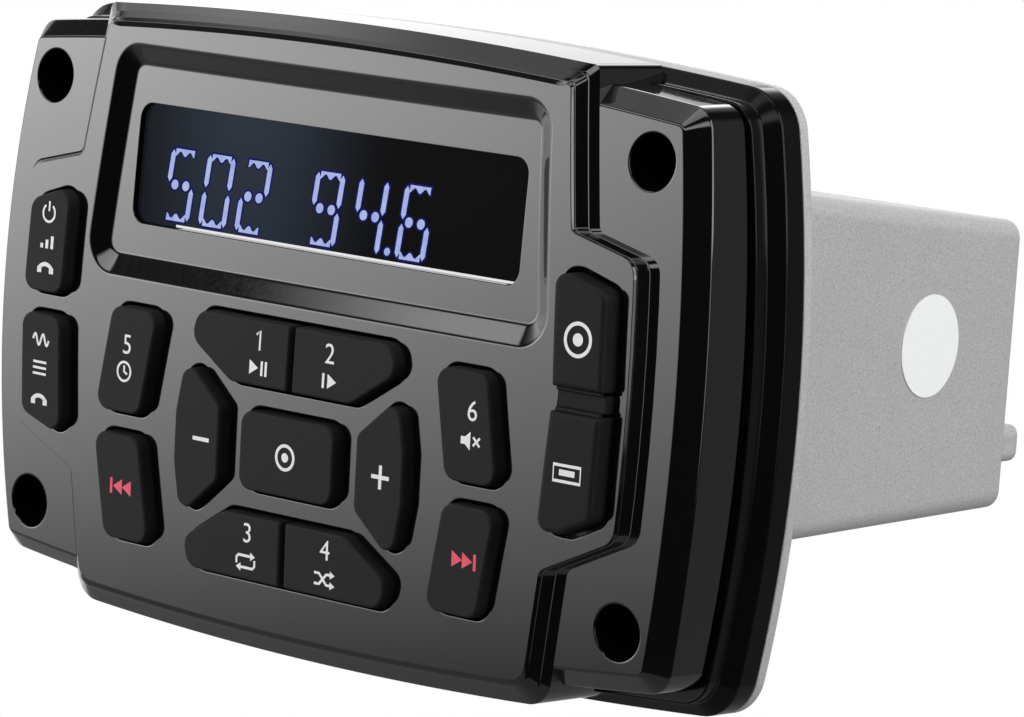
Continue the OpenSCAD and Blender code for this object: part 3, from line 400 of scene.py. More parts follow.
# A satin mould surface has a soft, dark shine, which varies over some 20 mm.
haze = add(tree, "ShaderNodeTexNoise", {"Vector": at, "Scale": 1 / 0.02, "Detail": 4.0})
shade = add(tree, "ShaderNodeMix",
            {0: haze.outputs["Fac"], 6: srgb("#070708"), 7: srgb("#0e0e0f")}, data_type="RGBA")
tree.links.new(shade.outputs[2], shader.inputs["Base Color"])
worn = add(tree, "ShaderNodeMapRange",
           {"Value": haze.outputs["Fac"], "To Min": 0.1, "To Max": 0.18})
tree.links.new(worn.outputs["Result"], shader.inputs["Roughness"])
shader.inputs["IOR"].default_value = 1.5
shader.inputs["Specular IOR Level"].default_value = 0.1

FRAME_FRONT, LIP_BACK = -11.25, -10.6


def wings(d):
    """Outline of the four screw wings' flat, widened by d."""
    return bowed(73 + d, 44.5 + d, 235 + d, 650 + d, 1.2 + max(d, 0))


frame_edge, frame_inner = wings(2.3), wings(-1.7)
screw_bosses = [circle(c, 6.3) for c in corner_holes]


def in_frame_front(p):
    """Which points lie on the frame's front: its wall and its screw bosses, without the holes."""
    wall = inside(p, frame_edge) & ~inside(p, frame_inner)
    return (wall | in_any(p, screw_bosses)) & ~in_any(p, screw_holes)


shoulder = eased([(3.2, -10.55), (4.1, -10.55), (4.1, -8.0), (FLANGE_WIDER, -6.0),
                  (FLANGE_WIDER, -1.95), (4.4, -1.95)], 0.3)
frame_rows = [lift(frame_edge, FRAME_FRONT), lift(frame_edge, LIP_BACK)]
frame_patches = [
    joined(frame_rows + [lift(seat_ring(d), y) for d, y, _ in shoulder]),
    filled(frame_edge, FRAME_FRONT, [frame_inner, *screw_bosses, *screw_holes], spacing=3,
           kept=in_frame_front)]
for hole in screw_holes:
    frame_patches.append(joined([lift(hole, FRAME_FRONT), lift(hole, -FLANGE_T)], turned=True))
put("base_frame_moulding", frame_patches, satin, "stereo", ["base_frame"])


# Front bezel: one ABS moulding with a mirror gloss. Its raised panel and its screw wings are
# crowned, a stepped wall joins them, and keys, display and ports sit in openings in the panel.
gloss, tree, shader, at = material("gloss_black_abs")
# High gloss shows a faint orange peel some 5 mm long and a trace of dust about 1 mm apart.
peel = add(tree, "ShaderNodeTexNoise", {"Vector": at, "Scale": 1 / 0.005, "Detail": 1.0})
dust = add(tree, "ShaderNodeTexNoise",
           {"Vector": at, "Scale": 1 / 0.001, "Detail": 6.0, "Roughness": 0.65})
smear = add(tree, "ShaderNodeMapRange",
            {"Value": dust.outputs["Fac"], "From Min": 0.35, "From Max": 0.75,
             "To Min": 0.05, "To Max": 0.11})
tree.links.new(smear.outputs["Result"], shader.inputs["Roughness"])
pitch = add(tree, "ShaderNodeMix",
            {0: dust.outputs["Fac"], 6: srgb("#050506"), 7: srgb("#0a0a0b")}, data_type="RGBA")
tree.links.new(pitch.outputs[2], shader.inputs["Base Color"])
bump = add(tree, "ShaderNodeBump",
           {"Strength": 0.02, "Distance": 0.00004, "Height": peel.outputs["Fac"]})
tree.links.new(bump.outputs["Normal"], shader.inputs["Normal"])
shader.inputs["IOR"].default_value = 1.53

# Depths: the screw pads, the crowns of the wings, the panel and the recess, and the inner faces
PAD_Y, PANEL_RISE, RECESS_DEPTH = -22.0, 2.7, 1.8
WING_APEX = PAD_Y - crown(SCREW_X, SCREW_Z)
PANEL_APEX = WING_APEX - PANEL_RISE
RECESS_APEX = PANEL_APEX + RECESS_DEPTH
INNER_Y = PANEL_APEX + 4.6
BEZEL_BACK, PANEL_BACK = -11.3, -7.05
PORT_X = 58.8
WELL_Y = PANEL_APEX + crown(PORT_X, 0) + 3
# Widths: of the flat rim at each edge, and of the slopes round the panel and in the recess
EDGE, WALL_FOOT, RECESS_SLOPE = 0.7, 3.2, 3.2
# How far from the middle the panel's wall begins to be stepped, and over what width it fades in
STEPS_X, STEPS_FADE = 48.5, 0.7

# The panel's right half from the middle below to the middle above: x, z, corner radius, and the
# share by which the edge after it widens. The wall is steeper round the ears.
BOW_RADIUS, EAR_RADIUS = 810, 235
LOWER_CORNER = (48.7, -45.54)
BESIDE_EAR, ALONG_EAR = 0.32, 0.84
bow_x, ear_z = np.arange(0.775, 43, 1.55), np.array([-14, -7, 0, 7, 14])
bow = np.column_stack([bow_x, 46.5 - bow_x * bow_x / (2 * BOW_RADIUS)])
ear = np.column_stack([66.1 - ear_z * ear_z / (2 * EAR_RADIUS), ear_z])
half_panel = np.array([
    *((x, -z - 0.5, 0, 1) for x, z in bow),
    (*LOWER_CORNER, 2.4, 1), (51.2, -27.6, 2, BESIDE_EAR), (65.14, -21.2, 3.4, ALONG_EAR),
    *((x, z, 0, ALONG_EAR) for x, z in ear),
    (65.21, 20.4, 3, BESIDE_EAR), (52.8, 23.4, 1.4, 1), (49.7, 44.98, 1.2, 1),
    *((x, z, 0, 1) for x, z in bow[::-1])])
panel_points = np.concatenate([half_panel[:, :2], (half_panel[:, :2] * (-1, 1))[::-1]])
panel_radii = np.concatenate([half_panel[:, 2], half_panel[::-1, 2]])
panel_spread = np.concatenate([half_panel[:, 3], half_panel[-2::-1, 3], [1]])
# The two lower corners are cut wider toward the foot of the wall
corner_spread = np.where(panel_points[:, 1] == LOWER_CORNER[1], 0.7, 0)


def panel(d):
    """Outline of the raised panel's face, widened by d, each edge by its own share."""
    return rounded(panel_points, panel_radii + corner_spread * max(d, 0),
                   d * panel_spread if d > 0 else d)


def recess(d):
    """Outline of the sunken field round the display, widened by d."""
    return rounded([(-50.2, 5.2), (50.2, 5.2), (46.5, 42.2), (-46.5, 42.2)],
                   np.array([5.5, 5.5, 5, 5]) + d, d, arc=12)


def window(d):
    """Outline of the display window, widened by d."""
    return rounded(rectangle(-41.9, 13.8, 41.9, 33), 2.5 + max(d, -1), d)


def turned_x(p):
    """Outline mirrored left to right, in the order that keeps it counter-clockwise."""
    return (np.array(p, float) * (-1, 1))[::-1]


def turned_z(p):
    """Outline mirrored top to bottom, in the order that keeps it counter-clockwise."""
    return (np.array(p, float) * (1, -1))[::-1]


def narrowed(p, d=0.45):
    """Outline drawn in by d at its two sides."""
    p = np.array(p, float)
    return p - d * np.sign(np.round(p - p.mean(0), 1)) * (1, 0)


# Key openings: those of the key field are drawn about its middle
field = np.array((0, -18.0))
skip = narrowed([(32.5, 1.25), (44.9, 1.25), (41.7, 19.2), (29.2, 19.2)])
volume = narrowed([(14, -6.1), (21.8, -11.9), (24.6, -10.8), (25.9, -4),
                   (25.9, 4), (24.6, 10.8), (21.8, 11.9), (14, 6.1)])
volume_r = np.array([2.4, 2.4, 2.4, 3, 3, 2.4, 2.4, 2.4])
pair = narrowed([(-13.7, 9.7), (13.7, 9.7), (23.4, 15.7), (21.9, 21), (-21.9, 21), (-23.4, 15.7)])
pair_r = np.array([3.4, 3.4, 3.2, 3.2, 3.2, 3.2])
select = narrowed(rectangle(-11.1, -6.75, 11.1, 6.75))
ear_upper = narrowed([(52.4, 0.1), (63.6, 0.1), (63.1, 15.7), (51.7, 19.1)])
ear_lower = narrowed([(51, -23), (62.7, -19.6), (63.6, -2.5), (52.4, -2.5)])
well = [(51.7, -21.8), (57.5, -21.8), (63.8, -18.8), (64.4, -1),
        (63.7, 16.2), (56, 18.4), (52, 18.4), (53.2, -1)]
well_r = np.array([2.8, 3, 2.4, 0, 2.4, 3, 2.8, 0])
field_r = np.full(4, 2.9)
openings = {
    "power": (turned_x(ear_upper), np.array([3.2, 3.2, 2.8, 2.8])),
    "band": (turned_x(ear_lower), np.full(4, 2.8)),
    "upper_pair": (pair + field, pair_r),
    "lower_pair": (turned_z(pair) + field, pair_r[::-1]),
    "upper_right": (skip + field, field_r),
    "upper_left": (turned_x(skip) + field, field_r),
    "lower_right": (turned_z(skip) + field, field_r),
    "lower_left": (turned_x(turned_z(skip)) + field, field_r),
    "volume_right": (volume + field, volume_r),
    "volume_left": (turned_x(volume) + field, volume_r[::-1]),
    "select": (select + field, field_r)}


def opening(points, radii):
    """Outline of one opening as a function of its widening; its corners widen along with it."""
    return lambda d: rounded(points, np.where(radii > 0, np.maximum(radii + d, 0.3), 0),
                             d, 1.2, 10)


# The panel's wall as (widening, depth): two fine steps at the sides, a slope above and below
steps = eased([(-EDGE, 0), (0, 0), (0.22, 0.5), (0.5, 0.5), (1.6, 1.9), (1.88, 1.9),
               (WALL_FOOT, PANEL_RISE)], 0.09)
slope = eased([(-EDGE, 0), (-0.55, 0), (0.25, 0.215), (0.9, 0.8), (1.92, 1.65), (1.98, 1.7),
               (WALL_FOOT, PANEL_RISE)], 0.08)


def panel_wall():
    """Wall of the panel: the steps along its sides fade into the slope within its corners."""
    stepped, sloped = (np.stack([lift(panel(d), PANEL_APEX + y, 1.0) for d, y, _ in profile])
                       for profile in (steps, slope))
    at_side = np.clip((np.abs(panel(0)[:, 0]) - STEPS_X) / STEPS_FADE, 0, 1)[None, :, None]
    return joined(at_side * stepped + (1 - at_side) * sloped)


key_outlines = [opening(*shape) for shape in openings.values()]
well_outline = opening(well, well_r)
panel_holes = [recess(EDGE), well_outline(EDGE), *(outline(EDGE) for outline in key_outlines)]
rim = eased([(EDGE, PANEL_APEX, 1), (0, PANEL_APEX, 1), (0, INNER_Y, 0)], 0.45, 6)
recess_profile = eased([(EDGE, PANEL_APEX, 1), (0, PANEL_APEX, 1), (-RECESS_SLOPE, RECESS_APEX, 1),
                        (-RECESS_SLOPE - EDGE, RECESS_APEX, 1)], 0.5)
window_rim = eased([(EDGE, RECESS_APEX, 1), (0, RECESS_APEX, 1), (0, INNER_Y, 0)], 0.16)
bezel_patches = [
    filled(panel(-EDGE), PANEL_APEX, panel_holes, 1.0),
    panel_wall(),
    carried(recess, recess_profile, turned=True),
    carried(window, window_rim, turned=True),
    carried(well_outline, rim, turned=True),
    filled(recess(-RECESS_SLOPE - EDGE), RECESS_APEX, [window(EDGE)], 1.0)]
bezel_patches += [carried(outline, rim, turned=True) for outline in key_outlines]
# Tabs at the well's sides hold the strap of the port covers
for tab_x, tab_y in ((53.4, WELL_Y - 1.4), (64.3, WELL_Y - 2.85)):
    tab = rounded(rectangle(-0.5, -1.3, 0.5, 1.3) + (tab_x, -1), 0.2, 0, 1, 4)
    bezel_patches += [joined([lift(tab, tab_y), lift(tab, WELL_Y - 0.05)]),
                      filled(tab, tab_y, spacing=1)]

# Wings: flat with counterbored screw holes, a 45 degree chamfer and the side wall
COUNTERBORE, CHAMFER, WALL_ROWS = 4.3, 2.9, 8
bores = [lambda d, c=c: circle(c, COUNTERBORE + d, 56) for c in corner_holes]
wing_holes = [panel(WALL_FOOT), *(bore(EDGE) for bore in bores)]
bezel_patches.append(filled(wings(-EDGE), WING_APEX, wing_holes, 1.0))
# The wings' chamfer stays where it is outside the panel
wing_points, wing_quads = carried(wings, eased(
    [(-EDGE, WING_APEX, 1), (0, WING_APEX, 1), (CHAMFER, WING_APEX + CHAMFER, 1),
     (3.1, BEZEL_BACK, 0), (0.7, BEZEL_BACK, 0)], 0.3))
middle = wing_points[wing_quads].mean(1)[:, [0, 2]]
bezel_patches.append((wing_points, wing_quads[~inside(middle, panel(0.6))]))
# The panel's own side wall goes where the wings cover it
side_points, side_quads = carried(panel, eased(
    [(WALL_FOOT, WING_APEX, 1), (WALL_FOOT + 0.01, PANEL_BACK, 0), (1.0, PANEL_BACK, 0),
     (1.0, INNER_Y, 0)], 0.25))
middle = side_points[side_quads].mean(1)
buried = (inside(middle[:, [0, 2]], wings(-EDGE)) & (middle[:, 1] < BEZEL_BACK)
          & (side_quads.min(1) < WALL_ROWS * len(panel(0))))
bezel_patches.append((side_points, side_quads[~buried]))
bore_wall = eased([(EDGE, WING_APEX, 1), (0, WING_APEX, 1), (0, BEZEL_BACK, 0)], 0.3)
bezel_patches += [carried(bore, bore_wall, turned=True) for bore in bores]
back_holes = [outline(0) for outline in (*key_outlines, window, well_outline)]
bezel_patches.append(filled(panel(1.0), INNER_Y, back_holes, spacing=5, turned=True))
put("bezel_moulding", bezel_patches, gloss, "stereo", ["front_bezel"],
    crease=25)


# Display: smoked acrylic window with the lit liquid crystal behind it. Backlit strokes show as
# pale blue-violet marks. The window's face glows with a painted bluish light toward the upper left.
smoked, tree, shader, at = material("smoked_acrylic")
# The painted glow is widest 18 mm left of the middle and fades over 30 mm; it grows toward the top.
xyz = add(tree, "ShaderNodeSeparateXYZ", {"Vector": at})
off_middle = add(tree, "ShaderNodeMath", {0: xyz.outputs["X"], 1: 0.018}, operation="ADD")
off_middle = add(tree, "ShaderNodeMath", {0: off_middle.outputs["Value"]}, operation="ABSOLUTE")
across = add(tree, "ShaderNodeMapRange",
             {"Value": off_middle.outputs["Value"], "From Min": 0.002, "From Max": 0.032,
              "To Min": 1.0, "To Max": 0.0}, interpolation_type="SMOOTHSTEP")
upward = add(tree, "ShaderNodeMapRange",
             {"Value": xyz.outputs["Z"], "From Min": 0.012, "From Max": 0.034,
              "To Min": 0.75, "To Max": 1.0})
painted_glow_share = add(tree, "ShaderNodeMath",
            {0: across.outputs["Result"], 1: upward.outputs["Result"]}, operation="MULTIPLY")
glow = add(tree, "ShaderNodeMix",
           {0: painted_glow_share.outputs["Value"], 6: srgb("#080808"), 7: srgb("#2a323d")}, data_type="RGBA")
# A painted highlight: the window emits a thin bright line along its lower edge, in place of the
# light caught by the ledge there.
under = add(tree, "ShaderNodeMath", {0: xyz.outputs["Z"], 1: 0.01412, 2: 0.00022},
            operation="COMPARE")
past = add(tree, "ShaderNodeMath", {0: xyz.outputs["X"], 1: -0.0325}, operation="GREATER_THAN")
painted_highlight_line = add(tree, "ShaderNodeMath",
               {0: under.outputs["Value"], 1: past.outputs["Value"]}, operation="MULTIPLY")
edged = add(tree, "ShaderNodeMix",
            {0: painted_highlight_line.outputs["Value"], 6: glow.outputs[2], 7: srgb("#e8e8ea")},
            data_type="RGBA")
tree.links.new(edged.outputs[2], shader.inputs["Emission Color"])
shader.inputs["Emission Strength"].default_value = 1.0
shader.inputs["Base Color"].default_value = srgb("#050506")
# Wiping leaves smudges of about 12 mm in the polish.
smudge = add(tree, "ShaderNodeTexNoise", {"Vector": at, "Scale": 1 / 0.012, "Detail": 5.0})
polish = add(tree, "ShaderNodeMapRange",
             {"Value": smudge.outputs["Fac"], "To Min": 0.06, "To Max": 0.2})
tree.links.new(polish.outputs["Result"], shader.inputs["Roughness"])
# The window reflects almost nothing; its brightness comes from the painted glow.
shader.inputs["Specular IOR Level"].default_value = 0.005

WINDOW_APEX, WINDOW_BACK, SEAT_Y = RECESS_APEX + 0.9, INNER_Y + 1.25, INNER_Y + 0.05
WINDOW_FACE, WINDOW_GAP, WINDOW_LIP = 0.35, 0.15, 2
window_profile = eased([(-WINDOW_FACE, WINDOW_APEX, 1), (-WINDOW_GAP, WINDOW_APEX, 1),
                        (-WINDOW_GAP, SEAT_Y, 0), (WINDOW_LIP, SEAT_Y, 0),
                        (WINDOW_LIP, WINDOW_BACK, 0)], 0.06)
put("window_moulding", [
    filled(window(-WINDOW_FACE), WINDOW_APEX, bend=1.0),
    carried(window, window_profile),
    filled(window(WINDOW_LIP), WINDOW_BACK, spacing=8, turned=True)],
    smoked, "stereo", ["display_window"])

# The lit strokes glow unevenly, by ripples of about 1.6 mm, and have a darker blue fringe.
glows = {}
for name, dark, light, strength, unlit in (
        ("lit_display_strokes", "#94a6e6", "#cdd8f4", 0.82, "#20264a"),
        ("liquid_crystal_fringe", "#0e1450", "#18267a", 0.7, "#080a20")):
    glows[name], tree, shader, at = material(name)
    ripple = add(tree, "ShaderNodeTexNoise", {"Vector": at, "Scale": 1 / 0.0016, "Detail": 2.0})
    tint = add(tree, "ShaderNodeMix",
               {0: ripple.outputs["Fac"], 6: srgb(dark), 7: srgb(light)}, data_type="RGBA")
    tree.links.new(tint.outputs[2], shader.inputs["Emission Color"])
    shader.inputs["Emission Strength"].default_value = strength
    shader.inputs["Base Color"].default_value = srgb(unlit)
    shader.inputs["Specular IOR Level"].default_value = 0.0

DIGIT_W, DIGIT_H, STROKE, SLANT, DIGIT_Z = 6.3, 11.5, 1.0, 0.1, 14.9


def upright(z0, z1, x, fat):
    """Pointed vertical stroke of the display's digits, made fatter all round by fat."""
    w = STROKE / 2 + fat
    z0, z1 = z0 - fat, z1 + fat
    return np.array([(x - w, z0 + 0.7), (x, z0), (x + w, z0 + 0.7),
                     (x + w, z1 - 0.7), (x, z1), (x - w, z1 - 0.7)])


def wavy(z, up, fat):
    """Horizontal stroke whose inner edge is two cosine waves, made fatter all round by fat."""
    t = np.linspace(0, 1, 17)
    x = 1.0 - fat + (DIGIT_W - 2.0 + 2 * fat) * t
    wave = z - up * (0.8 + 0.4 * np.cos(4 * math.pi * t) + fat)
    edge = np.stack([np.concatenate([x, x[::-1]]),
                     np.concatenate([wave, np.full(17, z + up * fat)])], 1)
    return edge if up > 0 else edge[::-1]


def segments(fat):
    """Shapes of a digit's segments, a to g as usual, and of the point."""
    half_h, near, far = DIGIT_H / 2, 0.5, DIGIT_W - 0.5
    lower, upper = (0.2, half_h - 0.35), (half_h + 0.35, DIGIT_H - 0.2)
    return {"a": [wavy(DIGIT_H, 1, fat)], "d": [wavy(0, -1, fat)],
            "g": [circle((DIGIT_W / 2 + x, half_h), 0.8 + fat, 16) for x in (-1.25, 1.25)],
            "f": [upright(*upper, near, fat)], "b": [upright(*upper, far, fat)],
            "e": [upright(*lower, near, fat)], "c": [upright(*lower, far, fat)],
            ".": [circle((0, 0.8), 0.62 + fat, 16)]}


digits = {"5": "acdfg", "0": "abcdef", "2": "abged", "9": "abcdfg", "4": "bcfg", "6": "acdefg",
          ".": "."}
display = [("5", -36.0), ("0", -27.6), ("2", -19.3), ("9", -3.4), ("4", 6.0), (".", 14.0),
           ("6", 15.6)]


def display_marks(fat, proud):
    """All the lit segments, slanted, as sheets that lie a little proud of the window."""
    shapes = segments(fat)
    flats = [shape @ np.array([[1, 0], [SLANT, 1]]) + (x, DIGIT_Z)
             for digit, x in display for name in digits[digit] for shape in shapes[name]]
    return [filled(flat, WINDOW_APEX - proud, bend=1.0, spacing=1.0) for flat in flats]


put("display_fringe", display_marks(0.32, 0.02), glows["liquid_crystal_fringe"], "stereo")
put("display_strokes", display_marks(0, 0.04), glows["lit_display_strokes"], "stereo")


# Keys: silicone rubber, moulded with a fine matt grain, each with a crowned face and softened
# edges. The legends are screen printed in white, and in red on the two skip keys.
silicone, tree, shader, at = material("matt_silicone_rubber")
# The grain is about 0.3 mm; larger cloudy marks show where fingers have polished it.
grain = add(tree, "ShaderNodeTexNoise", {"Vector": at, "Scale": 1 / 0.0003, "Detail": 3.0})
cloud = add(tree, "ShaderNodeTexNoise", {"Vector": at, "Scale": 1 / 0.009, "Detail": 3.0})
tone = add(tree, "ShaderNodeMix",
           {0: cloud.outputs["Fac"], 6: srgb("#1b1b1c"), 7: srgb("#232324")}, data_type="RGBA")
tree.links.new(tone.outputs[2], shader.inputs["Base Color"])
matt = add(tree, "ShaderNodeMapRange",
           {"Value": cloud.outputs["Fac"], "To Min": 0.5, "To Max": 0.66})
tree.links.new(matt.outputs["Result"], shader.inputs["Roughness"])
bump = add(tree, "ShaderNodeBump",
           {"Strength": 0.25, "Distance": 0.00003, "Height": grain.outputs["Fac"]})
tree.links.new(bump.outputs["Normal"], shader.inputs["Normal"])
shader.inputs["IOR"].default_value = 1.41
shader.inputs["Specular IOR Level"].default_value = 0.14

# Screened ink covers unevenly, in flecks of about 0.6 mm.
inks = {}
for name, dark, light in (("white_screen_print", "#d8d8d8", "#f4f4f4"),
                          ("red_screen_print", "#d8304c", "#ee4a66")):
    inks[name], tree, shader, at = material(name)
    fleck = add(tree, "ShaderNodeTexNoise", {"Vector": at, "Scale": 1 / 0.0006, "Detail": 3.0})
    cover = add(tree, "ShaderNodeMix",
                {0: fleck.outputs["Fac"], 6: srgb(dark), 7: srgb(light)}, data_type="RGBA")
    tree.links.new(cover.outputs[2], shader.inputs["Base Color"])
    shader.inputs["Roughness"].default_value = 0.5

KEY_APEX, KEY_BACK = PANEL_APEX - 2.18, INNER_Y + 1.05
KEY_GAP, KEY_ROUND, KEY_DRAFT, PAIR_GAP = 0.4, 1.1, 0.12, 0.15
STEM_R, STEM_END = 2, KEY_BACK + 1.9
LINE, BAR, PROUD = 0.42, 0.5, 0.03


def ribbon(path, width, closed=False):
    """Flat stroke along a path, as quads between its points moved half a width to each side."""
    path = np.array(path, float)
    ahead = np.roll(path, -1, 0) - np.roll(path, 1, 0)
    if not closed:
        ahead[0], ahead[-1] = path[1] - path[0], path[-1] - path[-2]
    across = np.stack([ahead[:, 1], -ahead[:, 0]], 1)
    out = across / np.linalg.norm(ahead, axis=1)[:, None] * width / 2
    n = len(path)
    i = np.arange(n if closed else n - 1)
    j = (i + 1) % n
    return np.concatenate([path + out, path - out]), np.stack([i, j, j + n, i + n], 1)


def spot(polygon):
    """Filled convex mark as a fan about its middle."""
    polygon = np.array(polygon, float)
    i = np.arange(len(polygon))
    fan = np.stack([i, (i + 1) % len(polygon), np.full_like(i, len(i))], 1)
    return np.concatenate([polygon, polygon.mean(0)[None]]), fan


def bent(r, a0, a1, n=18, centre=(0, 0)):
    """Path along a circle from one angle in degrees to another."""
    return on_circle(centre, r, np.radians(np.linspace(a0, a1, n)))


def figure(text, centre, height):
    """A printed figure from the built-in type face, scaled to a height and centred on a point."""
    curve = bpy.data.curves.new("figure", "FONT")
    curve.body = text
    maker = bpy.data.objects.new("figure", curve)
    scene.collection.objects.link(maker)
    bpy.context.view_layer.update()
    graph = bpy.context.evaluated_depsgraph_get()
    made = bpy.data.meshes.new_from_object(maker.evaluated_get(graph))
    p = np.empty(len(made.vertices) * 3)
    made.vertices.foreach_get("co", p)
    p = p.reshape(-1, 3)[:, :2]
    made.calc_loop_triangles()
    t = np.empty(len(made.loop_triangles) * 3, int)
    made.loop_triangles.foreach_get("vertices", t)
    low, high = p.min(0), p.max(0)
    bpy.data.objects.remove(maker)
    bpy.data.curves.remove(curve)
    bpy.data.meshes.remove(made)
    return (p - (low + high) / 2) * height / (high[1] - low[1]) + np.array(centre), t.reshape(-1, 3)


def shifted(marks, place, size=1.0):
    """Marks scaled by a size and moved to a place."""
    return [(p * size + np.array(place), faces) for p, faces in marks]


def printed(name, marks, ink, apex, body):
    """Screen print: flat marks laid a little proud of a crowned face."""
    put(name, [(lift(p, apex - PROUD, 1.0), faces) for p, faces in marks], ink, body)


triangle = np.array([(-0.9, -1.15), (1.0, 0), (-0.9, 1.15)])
wave_x = np.linspace(-1, 1, 25)


def bar(x):
    """Upright bar of the signs for playing."""
    return ribbon([(x, -1.15), (x, 1.15)], BAR)


icons = {
    "power": [ribbon(bent(1.5, 125, 415, 26), LINE), ribbon([(0, 0.3), (0, 2.0)], LINE)],
    "bars": [spot(rectangle(x - 0.35, -1, x + 0.35, top))
             for x, top in ((-1.3, -0.2), (0, 0.5), (1.3, 1.2))],
    "handset": [ribbon(bent(2.4, 40, 140, centre=(0, -1.6)), 0.8),
                spot(rectangle(-2.3, -0.9, -1.1, 0.2)), spot(rectangle(1.1, -0.9, 2.3, 0.2))],
    "wave": [ribbon(np.stack([np.linspace(-1.9, 1.9, 25), 0.9 * np.sin(wave_x * 2 * math.pi)], 1),
                    LINE)],
    "list": [ribbon([(-1.7, z), (1.7, z)], LINE) for z in (-1, 0, 1)],
    "clock": [ribbon(bent(1.6, 0, 345, 24), LINE, True),
              ribbon([(0, 1.0), (0, 0), (0.8, -0.4)], LINE)],
    "mute": [spot(rectangle(-1.9, -0.6, -1.0, 0.6)),
             spot([(-1.0, -0.6), (0.1, -1.5), (0.1, 1.5), (-1.0, 0.6)]),
             ribbon([(0.7, -0.7), (2.1, 0.7)], LINE), ribbon([(0.7, 0.7), (2.1, -0.7)], LINE)],
    "play": [spot(triangle + (-0.9, 0)), bar(0.9), bar(1.8)],
    "intro": [spot(triangle + (0.7, 0)), bar(-1.1)],
    "repeat": [ribbon([(1.0, 0.9), (-1.5, 0.9), (-1.9, 0.5), (-1.9, -0.4)], LINE),
               ribbon([(-1.0, -0.9), (1.5, -0.9), (1.9, -0.5), (1.9, 0.4)], LINE),
               spot([(1.0, 0.25), (2.0, 0.9), (1.0, 1.55)]),
               spot([(-1.0, -0.25), (-2.0, -0.9), (-1.0, -1.55)])],
    "shuffle": [ribbon([(-2, 0.8), (-1.0, 0.8), (0.5, -0.8), (1.2, -0.8)], LINE),
                ribbon([(-2, -0.8), (-1.0, -0.8), (0.5, 0.8), (1.2, 0.8)], LINE),
                spot([(1.2, 0.2), (2.2, 0.8), (1.2, 1.4)]),
                spot([(1.2, -1.4), (2.2, -0.8), (1.2, -0.2)])],
    "ring": [ribbon(bent(1.5, 0, 345, 24), LINE, True), spot(circle((0, 0), 0.6, 16))],
    "1": [ribbon([(-0.26, 0.27), (0.0, 0.5), (0.0, -0.5)], 0.13)],
    "minus": [ribbon([(-1.6, 0), (1.6, 0)], 0.55)],
    "plus": [ribbon([(-1.6, 0), (1.6, 0)], 0.55), ribbon([(0, -1.6), (0, 1.6)], 0.55)],
    "back": [spot(-triangle + (-0.5, 0)), spot(-triangle + (1.4, 0)), bar(-1.9)],
    "forward": [spot(triangle + (0.5, 0)), spot(triangle + (-1.4, 0)), bar(1.9)],
    "jack": [ribbon(bent(2.1, 0, 352, 30), BAR, True), spot(circle((0, 0), 0.85, 20))],
    "port": [ribbon(rectangle(-2.6, -1.2, 2.6, 1.2), BAR, True),
             ribbon([(-1.5, 0.1), (1.5, 0.1)], 0.9)]}

# Halves of a pair's opening, one for each of the two keys that share it
left_half = np.array([pair[0], (-0.05, 9.7), (-0.05, 21), pair[4], pair[5]])
right_half = np.array([(0.05, 9.7), pair[1], pair[2], pair[3], (0.05, 21)])
left_r, right_r = np.array([3.4, 0.5, 0.5, 3.2, 3.2]), np.array([0.5, 3.4, 3.2, 3.2, 0.5])
# Each key: its outline, the middle of its stem, and its legend as (mark, place, size)
key_table = {
    "key_power": (openings["power"], (-57.6, 8.6), [
        ("power", (-57.5, 13.4), 0.95), ("bars", (-57.5, 8.6), 0.95),
        ("handset", (-57.5, 4.4), 0.85)]),
    "key_band": (openings["band"], (-57.6, -12), [
        ("wave", (-57.5, -7.2), 1.0), ("list", (-57.5, -11.8), 0.95),
        ("handset", (-57.3, -17.0), 0.85)]),
    "key_1": ((left_half + field, left_r), (-11, -2.6), [
        ("1", (-6.8, -0.6), 3.1), ("play", (-7.0, -4.9), 1.0)]),
    "key_2": ((right_half + field, right_r), (11, -2.6), [
        ("2", (8.4, -0.6), 3.1), ("intro", (8.4, -4.9), 1.0)]),
    "key_3": ((turned_z(left_half) + field, left_r[::-1]), (-11, -33.4), [
        ("3", (-7.6, -31.0), 3.1), ("repeat", (-7.8, -35.6), 1.05)]),
    "key_4": ((turned_z(right_half) + field, right_r[::-1]), (11, -33.4), [
        ("4", (9.4, -31.0), 3.1), ("shuffle", (9.4, -35.6), 1.05)]),
    "key_5": (openings["upper_left"], (-37, -7.8), [
        ("5", (-36.8, -5.2), 3.1), ("clock", (-37.2, -9.6), 0.95)]),
    "key_6": (openings["upper_right"], (37, -7.8), [
        ("6", (38.4, -5.2), 3.1), ("mute", (38.2, -9.8), 0.95)]),
    "key_previous": (openings["lower_left"], (-37, -28.2), [("back", (-37, -28.2), 1.1)]),
    "key_next": (openings["lower_right"], (37, -28.2), [("forward", (38.3, -28.0), 1.1)]),
    "key_volume_down": (openings["volume_left"], (-20, -18), [("minus", (-18.8, -17.8), 1.15)]),
    "key_volume_up": (openings["volume_right"], (20, -18), [("plus", (20.4, -18), 1.15)]),
    "key_select": (openings["select"], (0, -18), [("ring", (0, -18), 1.25)])}
key_profile = eased([(-KEY_GAP - KEY_ROUND, KEY_APEX, 1), (-KEY_GAP - KEY_DRAFT, KEY_APEX, 1),
                     (-KEY_GAP, PANEL_APEX, 1), (-KEY_GAP, SEAT_Y, 0)], 0.55, 6)
